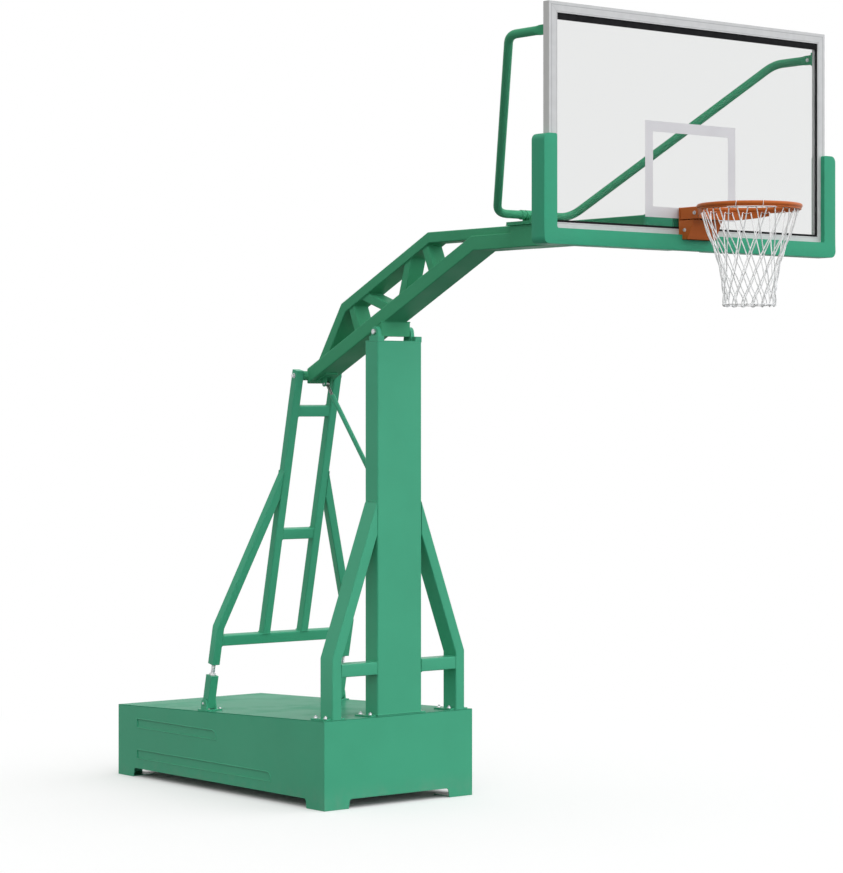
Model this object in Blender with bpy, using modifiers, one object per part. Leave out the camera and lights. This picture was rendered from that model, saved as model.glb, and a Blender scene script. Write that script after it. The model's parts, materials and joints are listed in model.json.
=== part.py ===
"""Portable basketball backstop: a ballasted box base, a post, a cranked lattice arm with a rear stay,
a glass board with its padding, and a ring that yields under load. Metres, +Z up, +X to the right
seen from the court, +Y away from the court. Standing floor at Z = 0."""
import math

import bmesh
import bpy
import numpy as np
from mathutils import Matrix, Vector

# Driving sizes. Y is measured from the playing face of the board, back towards the base.
GAP = 0.0003            # clearance between pieces that touch
BASE_WIDTH = 1.0
BASE_LENGTH = 2.0
BASE_FRONT = 2.25       # how far the base stands behind the board's face
HEIGHT_FRONT = 0.471
HEIGHT_REAR = 0.402
SHEET = 0.004
FOOT_HEIGHT = 0.05
FOOT_LENGTH = 0.16
RIB_WIDTH = 0.051       # the two ribs pressed into each side panel
RIB_DEPTH = 0.004
RIB_END = 0.197         # from the base's rear to the ribs
RIBS = ((0.284, 0.800), (0.107, 1.320))     # height of the lower edge and length of each rib
BALLAST_LENGTH = 0.78
BALLAST_HEIGHT = 0.28
BALLAST_CLEAR = 0.06    # from the base's rear to the ballast
POST_WIDTH = 0.2972
POST_DEPTH = 0.112
POST_TOP = 2.4630
POST_WALL = 0.005
PLATE = 0.008           # foot plates on the deck
BRACE_WIDTH = 0.06
BRACE_INSET = 0.054     # from the base's side in to the outer face of each brace
BRACE_OUTER = BASE_WIDTH / 2 - BRACE_INSET
BRACE_BEND = 0.793
BRACE_TOP = 1.614
PIVOT_Y = 2.312         # pin that the arm tilts on
PIVOT_Z = 2.517
ARM_ANGLE = math.radians(25.0)
LOWER_HALF = 0.077
LOWER_HEIGHT = 0.0762
UPPER_HALF = 0.060
UPPER_HEIGHT = 0.057
ARM_UNDERSIDE = 2.9175  # underside of the level front of the arm
ARM_BEND_Y = 1.542
ARM_TOP = 3.031
HEAD_FRONT = 0.235
HEAD_REAR = 1.235
STAY_Y = 2.999          # pin between the arm's tail and the rear stay
STAY_Z = 2.289
STAY_LEAN = math.radians(12.48)
STAY_TUBE = 0.05
STAY_HALF = 0.155
STAY_INSET = 0.028      # from the base's side in to the outer face of each of the stay's feet
STAY_FOOT_HALF = BASE_WIDTH / 2 - STAY_INSET
LINK_RISE = 0.0417      # height of the links' pins above the deck
SCREW_GAP = 0.065       # bare stretch of each screw between its link and its outrigger
SOCKET_TOP = 0.160      # top of each link above its pin
SCREW = 0.299           # length of each adjusting screw
STRUT_TOP_Y = 2.907
STRUT_TOP_Z = 2.244
STRUT_LOW_Y = 2.405
STRUT_LOW_Z = 1.631
BOARD_WIDTH = 1.80
BOARD_HEIGHT = 1.05
BOARD_BOTTOM = 2.90
CORNER = 0.006          # rounding along a tube's edges
FRAME_WIDTH = 0.05
FRAME_DEPTH = 0.04
GLASS_THICKNESS = 0.010
GLASS_FRONT = 0.0138
RING_HEIGHT = 3.05
RING_INNER = 0.225
RING_BAR = 0.020
RING_ROD = 0.010        # rod under the bar that the net hangs on
APRON = 0.006           # thickness of the apron under the ring
APRON_END = 21          # angle from the side, in degrees, where the apron ends
RING_CENTRE = 0.376     # in front of the board's face
HOUSING_HALF = 0.092
HOUSING_BOTTOM = 2.900
RING_PIN_Y = -0.107
RING_PIN_Z = 3.021
NET_LENGTH = 0.45
NET_MOUTH = 0.1225
NET_CORD = 0.0021
NET_LOOPS = 16
PIPE_RADIUS = 0.021
PAD_WRAP = 0.050        # padding outside the frame at the sides
PAD_UNDER = 0.051       # and below it
PAD_HEIGHT = 0.500
PAD_LEG = 0.078
PAD_FRONT = 0.025
PAD_BACK = 0.0235

for old in list(bpy.data.objects):
    bpy.data.objects.remove(old, do_unlink=True)
parts = bpy.data.collections.new("basketball_backstop")
cutters = bpy.data.collections.new("cutters")
bpy.context.scene.collection.children.link(parts)
bpy.context.scene.collection.children.link(cutters)

GREEN = (0.045, 0.36, 0.20)
COLOURS = {
    "green": (GREEN, 0.1, 0.42),
    "steel": ((0.62, 0.62, 0.62), 1.0, 0.3),
    "aluminium": ((0.72, 0.73, 0.74), 1.0, 0.35),
    "orange": ((0.50, 0.12, 0.035), 0.1, 0.4),
    "glass": ((0.80, 0.86, 0.86), 0.0, 0.05),
    "black": ((0.02, 0.02, 0.02), 0.0, 0.6),
    "pad": (GREEN, 0.0, 0.6),
    "net": ((0.85, 0.85, 0.85), 0.0, 0.8),
    "iron": ((0.12, 0.12, 0.12), 0.6, 0.6),
    "concrete": ((0.42, 0.41, 0.39), 0.0, 0.9),
}
YZ = Matrix(((0, 0, 1), (1, 0, 0), (0, 1, 0)))      # a profile drawn in (Y, Z), thick along X
XZ = Matrix(((1, 0, 0), (0, 0, -1), (0, 1, 0)))     # a profile drawn in (X, Z), thick along Y
XY = Matrix.Identity(3)                             # a profile drawn in (X, Y), thick along Z
frames = {}


def axis_frame(name, place, lean=0.0, parent=None):
    """An empty on a joint's axis; its own X is the axis, its Z is tipped forwards by lean."""
    empty = bpy.data.objects.new(name, None)
    parts.objects.link(empty)
    here = Matrix.Translation(Vector(place)) @ Matrix.Rotation(lean, 4, "X")
    frames[name] = here
    local = here if parent is None else frames[parent].inverted() @ here
    if parent is not None:
        empty.parent = bpy.data.objects[parent]
    empty.location = local.to_translation()
    empty.rotation_euler = local.to_euler()
    return name


def paint(obj, kind):
    colour, metallic, roughness = COLOURS[kind]
    mat = bpy.data.materials.new(obj.name + "_material")
    mat.use_nodes = True
    bsdf = mat.node_tree.nodes["Principled BSDF"]
    bsdf.inputs["Base Color"].default_value = (*colour, 1.0)
    bsdf.inputs["Metallic"].default_value = metallic
    bsdf.inputs["Roughness"].default_value = roughness
    obj.data.materials.clear()
    obj.data.materials.append(mat)


def solid(name, loops, half, centre=(0, 0, 0), plane=XY, collection=parts):
    """A flat profile, with holes where one loop lies inside another, made half thick each way."""
    curve = bpy.data.curves.new(name, "CURVE")
    curve.dimensions = "2D"
    curve.fill_mode = "BOTH"
    curve.extrude = half
    for loop in loops:
        spline = curve.splines.new("POLY")
        spline.points.add(len(loop) - 1)
        for point, (a, b) in zip(spline.points, loop):
            point.co = (a, b, 0.0, 1.0)
        spline.use_cyclic_u = True
    drawn = bpy.data.objects.new(name + "_drawn", curve)
    collection.objects.link(drawn)
    bpy.context.view_layer.update()
    mesh = bpy.data.meshes.new_from_object(drawn)
    bpy.data.objects.remove(drawn, do_unlink=True)
    return finish(name, mesh, Matrix.Translation(Vector(centre)) @ plane.to_4x4(), collection)


def finish(name, mesh, place=Matrix.Identity(4), collection=parts):
    """Welds a mesh, turns it into its plane with its faces outwards and places it as an object."""
    work = bmesh.new()
    work.from_mesh(mesh)
    work.transform(place.to_3x3().to_4x4())
    bmesh.ops.remove_doubles(work, verts=work.verts, dist=0.00005)
    bmesh.ops.recalc_face_normals(work, faces=work.faces)
    mesh.clear_geometry()
    work.to_mesh(mesh)
    work.free()
    mesh.name = name
    mesh.shade_smooth()
    mesh.set_sharp_from_angle(angle=math.radians(35))
    obj = bpy.data.objects.new(name, mesh)
    obj.location = place.to_translation()
    collection.objects.link(obj)
    return obj


def from_curve(name, curve):
    """A round tube drawn as a curve, as a closed mesh."""
    drawn = bpy.data.objects.new(name + "_drawn", curve)
    parts.objects.link(drawn)
    bpy.context.view_layer.update()
    mesh = bpy.data.meshes.new_from_object(drawn.evaluated_get(bpy.context.evaluated_depsgraph_get()))
    bpy.data.objects.remove(drawn, do_unlink=True)
    return finish(name, mesh)


def round_curve(name, points, radius, resolution, closed=False, caps=True):
    curve = bpy.data.curves.new(name, "CURVE")
    curve.dimensions = "3D"
    curve.bevel_depth = radius
    curve.bevel_resolution = resolution
    curve.use_fill_caps = caps
    spline = curve.splines.new("POLY")
    spline.points.add(len(points) - 1)
    for point, co in zip(spline.points, points):
        point.co = (*co, 1.0)
    spline.use_cyclic_u = closed
    return curve


def least_gap(points, radius, closed=False):
    """Least clear space between stretches of a cord that lie more than ten radii apart along it."""
    ends = points[1:] + points[:1] if closed else points[1:]
    fine = np.array([Vector(a).lerp(Vector(b), i / 12) for a, b in zip(points, ends) for i in range(12)])
    runs = np.linalg.norm(np.diff(fine, axis=0, append=fine[:1]), axis=1)
    along = np.concatenate(([0.0], np.cumsum(runs[:-1])))
    total = runs.sum()
    apart = np.abs(along[:, None] - along[None, :])
    if closed:
        apart = np.minimum(apart, total - apart)
    space = np.linalg.norm(fine[:, None, :] - fine[None, :, :], axis=2)
    return space[apart > 10 * radius].min() - 2 * radius


def rectangle(a0, a1, b0, b1):
    return [(a0, b0), (a1, b0), (a1, b1), (a0, b1)]


def fillet(outline, radii, steps=3):
    """Rounds corners of an outline; radii maps a corner's index to its radius."""
    smooth = []
    for i, point in enumerate(outline):
        if i not in radii:
            smooth.append(tuple(point))
            continue
        here = Vector(point)
        back = (Vector(outline[i - 1]) - here).normalized()
        ahead = (Vector(outline[(i + 1) % len(outline)]) - here).normalized()
        half = back.angle(ahead) / 2
        centre = here + (back + ahead).normalized() * radii[i] / math.sin(half)
        first = here + back * radii[i] / math.tan(half) - centre
        last = here + ahead * radii[i] / math.tan(half) - centre
        start = math.atan2(first.y, first.x)
        turn = (math.atan2(last.y, last.x) - start + math.pi) % (2 * math.pi) - math.pi
        for k in range(steps + 1):
            a = start + turn * k / steps
            smooth.append((centre.x + radii[i] * math.cos(a), centre.y + radii[i] * math.sin(a)))
    return smooth


def rounded(a0, a1, b0, b1, radius):
    return fillet(rectangle(a0, a1, b0, b1), dict.fromkeys(range(4), radius), 2)


def cylinder(name, radius, length, centre=(0, 0, 0), plane=XY, count=24, collection=parts):
    """A round bar, its length along the plane's normal."""
    work = bmesh.new()
    bmesh.ops.create_cone(work, cap_ends=True, segments=count, radius1=radius, radius2=radius, depth=length)
    mesh = bpy.data.meshes.new(name)
    work.to_mesh(mesh)
    work.free()
    return finish(name, mesh, Matrix.Translation(Vector(centre)) @ plane.to_4x4(), collection)


def circle(radius, count=24, a=0.0, b=0.0):
    turn = 2 * math.pi / count
    return [(a + radius * math.cos(i * turn), b + radius * math.sin(i * turn)) for i in range(count)]


def block(name, x, y, z, collection=parts):
    size = Vector((x[1] - x[0], y[1] - y[0], z[1] - z[0]))
    middle = Vector((x[0] + x[1], y[0] + y[1], z[0] + z[1])) / 2
    work = bmesh.new()
    bmesh.ops.create_cube(work, size=1.0)
    bmesh.ops.scale(work, vec=size, verts=work.verts)
    mesh = bpy.data.meshes.new(name)
    work.to_mesh(mesh)
    work.free()
    return finish(name, mesh, Matrix.Translation(middle), collection)


def rod(name, radius, x, y, z, count=24):
    """A round bar across the object, from x[0] to x[1]."""
    return cylinder(name, radius, x[1] - x[0], ((x[0] + x[1]) / 2, y, z), YZ, count)


def boolean(obj, tool, operation="DIFFERENCE"):
    """A live Boolean; the tool waits in the cutters' collection and follows the piece."""
    for held in list(tool.users_collection):
        held.objects.unlink(tool)
    cutters.objects.link(tool)
    tool.hide_render = True
    tool.display_type = "WIRE"
    tool.parent = obj
    tool.matrix_parent_inverse = obj.matrix_basis.inverted()
    step = obj.modifiers.new(operation.title(), "BOOLEAN")
    step.operation = operation
    step.solver = "EXACT"
    step.object = tool
    return obj


def bevel(obj, width, segments=2, angle=30.0):
    step = obj.modifiers.new("Bevel", "BEVEL")
    step.width = width
    step.segments = segments
    step.limit_method = "ANGLE"
    step.angle_limit = math.radians(angle)
    return obj


def ride(obj, kind, parent="ground"):
    """Gives a piece its paint and hangs it, drawn in its parent's own frame, from that parent."""
    paint(obj, kind)
    obj.parent = bpy.data.objects[parent]
    return obj


def settle(obj, kind, parent="ground"):
    """As ride, for a piece drawn in the standing object's frame."""
    ride(obj, kind, parent)
    obj.matrix_parent_inverse = frames[parent].inverted() @ frames["ground"]
    return obj


def strip(path, half, cuts=(None, None)):
    """Outline of a bar of width 2 * half along a path of points, mitred at its bends."""
    points = [Vector(p) for p in path]
    runs = [(b - a).normalized() for a, b in zip(points, points[1:])]
    left, right = [], []
    for i, point in enumerate(points):
        before = runs[max(i - 1, 0)]
        after = runs[min(i, len(runs) - 1)]
        across = Vector((-before.y, before.x)) + Vector((-after.y, after.x))
        across.normalize()
        if i == 0 and cuts[0]:
            across = Vector(cuts[0]).normalized()
        if i == len(points) - 1 and cuts[1]:
            across = Vector(cuts[1]).normalized()
        side = Vector((-after.y, after.x))
        reach = half / across.dot(side)
        left.append(tuple(point + across * reach))
        right.append(tuple(point - across * reach))
    return left + right[::-1]


def round_edges(obj, weigh, width, segments=2):
    """Bevels the sharp edges that weigh(middle, direction) gives a share of the width."""
    work = bmesh.new()
    work.from_mesh(obj.data)
    bmesh.ops.dissolve_limit(work, angle_limit=0.002, verts=work.verts, edges=work.edges)
    share = work.edges.layers.float.new("bevel_weight_edge")
    for edge in work.edges:
        if len(edge.link_faces) == 2 and edge.calc_face_angle() > 0.5:
            a, b = (vert.co for vert in edge.verts)
            edge[share] = weigh((a + b) / 2, (b - a).normalized())
    work.to_mesh(obj.data)
    work.free()
    step = obj.modifiers.new("Bevel", "BEVEL")
    step.width = width
    step.segments = segments
    step.limit_method = "WEIGHT"
    return obj


def round_along(obj, path, plane, width=CORNER):
    """Rounds the edges that run along a path."""
    runs = [plane @ Vector((*(Vector(b) - Vector(a)).normalized(), 0)) for a, b in zip(path, path[1:])]
    return round_edges(obj, lambda middle, way: max(abs(way.dot(run)) for run in runs) > 0.985, width)


def tube(name, path, width, depth, wall, centre, plane, cuts=(None, None), closed=(False, False)):
    """A rectangular tube along a path drawn in a plane, each end open or closed by a cap."""
    outer = solid(name, [strip(path, width / 2, cuts)], depth / 2, centre, plane)
    round_along(outer, path, plane)
    points = [Vector(p) for p in path]
    inner_cuts = [None, None]
    for end, inward in ((0, points[1] - points[0]), (-1, points[-2] - points[-1])):
        points[end] += inward.normalized() * (wall if closed[end] else -2 * width)
        if closed[end]:
            inner_cuts[end] = cuts[end]
    hollow = strip(points, width / 2 - wall, inner_cuts)
    return boolean(outer, solid(name + "_bore", [hollow], depth / 2 - wall, centre, plane))


def meet(point, run, edge, along):
    """Where a line from point along run crosses the line from edge along another run."""
    px, py = point
    ex, ey = edge
    cross = run[0] * along[1] - run[1] * along[0]
    t = ((ex - px) * along[1] - (ey - py) * along[0]) / cross
    return (px + run[0] * t, py + run[1] * t)


def deck_height(y):
    return HEIGHT_FRONT + (HEIGHT_REAR - HEIGHT_FRONT) * (y - BASE_FRONT) / BASE_LENGTH


# Depth of the middle of the whole object, ring to base, behind the board's face
ORIGIN_Y = (BASE_FRONT + BASE_LENGTH - RING_CENTRE - RING_INNER - RING_BAR) / 2
axis_frame("ground", (0, -ORIGIN_Y, 0))
SHIFT = Vector((0, -ORIGIN_Y, 0))
axis_frame("arm_axis", Vector((0, PIVOT_Y, PIVOT_Z)) + SHIFT, parent="ground")
axis_frame("stay_axis", Vector((0, STAY_Y, STAY_Z)) + SHIFT, STAY_LEAN, "arm_axis")
axis_frame("ring_axis", Vector((0, RING_PIN_Y, RING_PIN_Z)) + SHIFT, parent="arm_axis")
FALL = (HEIGHT_REAR - HEIGHT_FRONT) / BASE_LENGTH
LINK_LENGTH = ((STAY_Z - deck_height(STAY_Y) - LINK_RISE)
               / (math.cos(STAY_LEAN) + FALL * math.sin(STAY_LEAN)))
LINK_Y = STAY_Y + LINK_LENGTH * math.sin(STAY_LEAN)
LINK_Z = STAY_Z - LINK_LENGTH * math.cos(STAY_LEAN)
LINK_X = STAY_FOOT_HALF - STAY_TUBE / 2
# Middle of the rod under the ring's bar, which is welded 1.5 mm into it
ROD_HEIGHT = RING_HEIGHT - RING_BAR - RING_ROD / 2 + 0.0015
axis_frame("link_axis_left", Vector((-LINK_X, LINK_Y, LINK_Z)) + SHIFT, STAY_LEAN, "ground")
axis_frame("link_axis_right", Vector((LINK_X, LINK_Y, LINK_Z)) + SHIFT, STAY_LEAN, "ground")
STRUT_LEAN = -math.atan2(STRUT_TOP_Y - STRUT_LOW_Y, STRUT_TOP_Z - STRUT_LOW_Z)
STRUT_LENGTH = math.hypot(STRUT_TOP_Y - STRUT_LOW_Y, STRUT_TOP_Z - STRUT_LOW_Z)
axis_frame("strut_low_axis", Vector((0, STRUT_LOW_Y, STRUT_LOW_Z)) + SHIFT, STRUT_LEAN, "ground")
axis_frame("strut_top_axis", Vector((0, STRUT_TOP_Y, STRUT_TOP_Z)) + SHIFT, STRUT_LEAN, "arm_axis")


def build_base():
    half = BASE_WIDTH / 2
    front, rear = BASE_FRONT, BASE_FRONT + BASE_LENGTH
    under = SHEET + GAP
    middle = (front + rear) / 2
    for name, y0, y1 in (("deck_front", front, middle - GAP / 2), ("deck_rear", middle + GAP / 2, rear)):
        top0, top1 = deck_height(y0), deck_height(y1)
        outline = [(y0, top0 - SHEET), (y1, top1 - SHEET), (y1, top1), (y0, top0)]
        settle(solid(name, [outline], half, plane=YZ), "green")
    ends = (("base_front", front, HEIGHT_FRONT), ("base_rear", rear - SHEET, HEIGHT_REAR))
    for name, y, height in ends:
        inner = half - FOOT_LENGTH
        outline = [(-half, 0), (-inner, 0), (-inner + 0.008, FOOT_HEIGHT), (inner - 0.008, FOOT_HEIGHT),
                   (inner, 0), (half, 0), (half, height - under), (-half, height - under)]
        outline = fillet(outline, {2: 0.015, 3: 0.015})
        settle(solid(name, [outline], SHEET / 2, (0, y + SHEET / 2, 0), XZ), "green")
    y0, y1 = front + SHEET + GAP, rear - SHEET - GAP
    for name, side in (("base_left", -1), ("base_right", 1)):
        outline = [(y0, 0), (front + FOOT_LENGTH, 0), (front + FOOT_LENGTH + 0.008, FOOT_HEIGHT),
                   (rear - FOOT_LENGTH - 0.008, FOOT_HEIGHT), (rear - FOOT_LENGTH, 0), (y1, 0),
                   (y1, deck_height(y1) - under), (y0, deck_height(y0) - under)]
        outline = fillet(outline, {2: 0.015, 3: 0.015})
        wall = solid(name, [outline], SHEET / 2, (side * (half - SHEET / 2), 0, 0), YZ)
        # Each rib is pressed in: a raised strip on the inner face, then its hollow cut in the outer face.
        for low, length in RIBS:
            for tag, grow, x0, x1, step in (("back", SHEET, SHEET - 0.0001, SHEET + RIB_DEPTH, "UNION"),
                                            ("face", 0, -0.001, RIB_DEPTH, "DIFFERENCE")):
                rib = rectangle(rear - RIB_END - length - grow, rear - RIB_END + grow,
                                low - grow, low + RIB_WIDTH + grow)
                rib = fillet(rib, {3: 0.044 + grow}, 5)
                place = (side * (half - (x0 + x1) / 2), 0, 0)
                boolean(wall, solid(f"{name}_rib_{tag}", [rib], (x1 - x0) / 2, place, YZ), step)
        for tag, a, b in (("front", y0, front + FOOT_LENGTH - 0.01), ("rear", rear - FOOT_LENGTH + 0.01, y1)):
            x = sorted((side * (half - SHEET / 2), side * (half - 0.15)))
            boolean(wall, block(name + "_fold_" + tag, x, (a, b), (0, SHEET)), "UNION")
        settle(wall, "green")
    x = half - SHEET - GAP
    settle(block("base_floor", (-x, x), (y0, y1), (FOOT_HEIGHT + 0.005, FOOT_HEIGHT + 0.009)), "green")
    floor = FOOT_HEIGHT + 0.009 + GAP
    for name, side in (("ballast_left", -1), ("ballast_right", 1)):
        x = sorted((side * 0.015, side * (half - 0.035)))
        y = (rear - BALLAST_CLEAR - BALLAST_LENGTH, rear - BALLAST_CLEAR)
        settle(bevel(block(name, x, y, (floor, floor + BALLAST_HEIGHT)), 0.012, 1), "concrete")
    # A stub inside the base takes the post's load down to the floor plate.
    top = deck_height(front + 0.10) - SHEET - GAP
    loops = [rectangle(-0.14, 0.14, front + 0.006, front + 0.10),
             rectangle(-0.135, 0.135, front + 0.011, front + 0.095)]
    settle(solid("post_stub", loops, (top - floor) / 2, (0, 0, (top + floor) / 2)), "iron")


def rest_on_deck(obj, reach):
    """Cuts a foot to the deck's slope."""
    y0, y1 = BASE_FRONT - 0.5, BASE_FRONT + 1.5
    outline = [(y0, deck_height(y0) + GAP - 0.3), (y1, deck_height(y1) + GAP - 0.3),
               (y1, deck_height(y1) + GAP), (y0, deck_height(y0) + GAP)]
    return boolean(obj, solid(obj.name + "_deck", [outline], reach, plane=YZ))


def foot_plate(name, x, y):
    """A flange lying on the sloping deck."""
    outline = [(y[0], deck_height(y[0])), (y[1], deck_height(y[1])), (y[1], deck_height(y[1]) + PLATE),
               (y[0], deck_height(y[0]) + PLATE)]
    return solid(name, [outline], (x[1] - x[0]) / 2, ((x[0] + x[1]) / 2, 0, 0), YZ)


def build_post():
    half = POST_WIDTH / 2
    y0, y1 = BASE_FRONT, BASE_FRONT + POST_DEPTH
    wall = POST_WALL
    low, high = HEIGHT_FRONT - 0.05, POST_TOP
    loops = [rounded(-half, half, y0, y1, 0.008), rectangle(-half + wall, half - wall, y0 + wall, y1 - wall)]
    post = solid("post", loops, (high - low) / 2, (0, 0, (high + low) / 2))
    flange = foot_plate("post_flange", (-half - 0.036, half + 0.036), (y0 + 0.012, y1 + 0.044))
    hollow = block("post_flange_bore", (-half + wall, half - wall), (y0 + wall, y1 - wall), (0.3, 0.6))
    boolean(flange, hollow)
    boolean(post, flange, "UNION")
    settle(rest_on_deck(post, 0.3), "green")
    # The head closes the post and carries the arm's pin in two ears.
    head = block("post_head", (-half, half), (y0, y1), (high + GAP, high + 0.006))
    for tag, side in (("left", -1), ("right", 1)):
        x = sorted((side * 0.105, side * half))
        boolean(head, block("post_head_pad_" + tag, x, (y0, y0 + 0.075), (high + 0.003, 2.493)), "UNION")
        ear = [(PIVOT_Y - 0.036, high + 0.003), (PIVOT_Y + 0.036, high + 0.003), (PIVOT_Y + 0.028, PIVOT_Z)]
        ear += [(PIVOT_Y + 0.028 * math.cos(t), PIVOT_Z + 0.028 * math.sin(t))
                for t in (i * math.pi / 8 for i in range(1, 8))]
        ear.append((PIVOT_Y - 0.028, PIVOT_Z))
        boolean(head, solid("post_head_ear_" + tag, [ear], 0.012, (side * 0.111, 0, 0), YZ), "UNION")
    boolean(head, rod("post_head_bore", 0.0143, (-0.2, 0.2), PIVOT_Y, PIVOT_Z))
    settle(head, "green")
    settle(rod("pivot_pin", 0.014, (-0.1335, 0.1335), PIVOT_Y, PIVOT_Z), "steel")
    # Outer braces: a raking tube that turns down to the deck, and a tie back to the post.
    rake = Vector((BRACE_OUTER - half, BRACE_TOP - BRACE_BEND)).normalized()
    run = BRACE_WIDTH / 2
    for name, side in (("left", -1), ("right", 1)):
        bend = (side * (BRACE_OUTER - run), BRACE_BEND - run * math.tan(math.atan2(rake.x, rake.y) / 2))
        run_up = (-side * rake.x, rake.y)
        top = meet(bend, run_up, (side * (half + GAP), 0), (0, 1))
        foot = (side * (BRACE_OUTER - run), HEIGHT_FRONT - 0.04)
        brace = tube("brace_" + name, [foot, bend, top], BRACE_WIDTH, POST_DEPTH, 0.004,
                     (0, y0 + POST_DEPTH / 2, 0), XZ, (None, (0, 1)))
        inner, outer = side * (BRACE_OUTER - BRACE_WIDTH), side * BRACE_OUTER
        flange = foot_plate("brace_flange_" + name, sorted((inner - side * 0.030, outer + side * 0.030)),
                            (y0 + 0.012, y1 + 0.044))
        hollow = sorted((inner + side * 0.004, outer - side * 0.004))
        boolean(flange, block("brace_flange_bore_" + name, hollow, (y0 + 0.004, y1 - 0.004), (0.3, 0.6)))
        boolean(brace, flange, "UNION")
        settle(rest_on_deck(brace, 0.6), "green")
        x = sorted((side * (BRACE_OUTER - BRACE_WIDTH - GAP), side * (half + GAP)))
        tie = tube("tie_" + name, [(x[0], 0.727), (x[1], 0.727)], 0.068, 0.10, 0.004,
                   (0, y0 + 0.0505, 0), XZ)
        settle(tie, "green")
    # Lug on the back of the post for the strut.
    lug = solid("strut_lug_low", [rectangle(y1 + GAP, y1 + 0.008, STRUT_LOW_Z - 0.045, STRUT_LOW_Z + 0.045)],
                0.035, plane=YZ)
    for side in (-1, 1):
        ear = [(y1 + 0.004, STRUT_LOW_Z - 0.035)]
        ear += [(STRUT_LOW_Y + 0.018 * math.cos(t), STRUT_LOW_Z + 0.018 * math.sin(t))
                for t in (math.pi * (i / 6 - 0.5) for i in range(7))]
        ear.append((y1 + 0.004, STRUT_LOW_Z + 0.035))
        boolean(lug, solid(f"strut_lug_low_ear{side}", [ear], 0.003, (side * 0.0185, 0, 0), YZ), "UNION")
    pin = rod("strut_lug_low_pin", 0.006, (-0.026, 0.026), STRUT_LOW_Y, STRUT_LOW_Z, 12)
    boolean(lug, pin, "UNION")
    settle(lug, "green")


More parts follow.
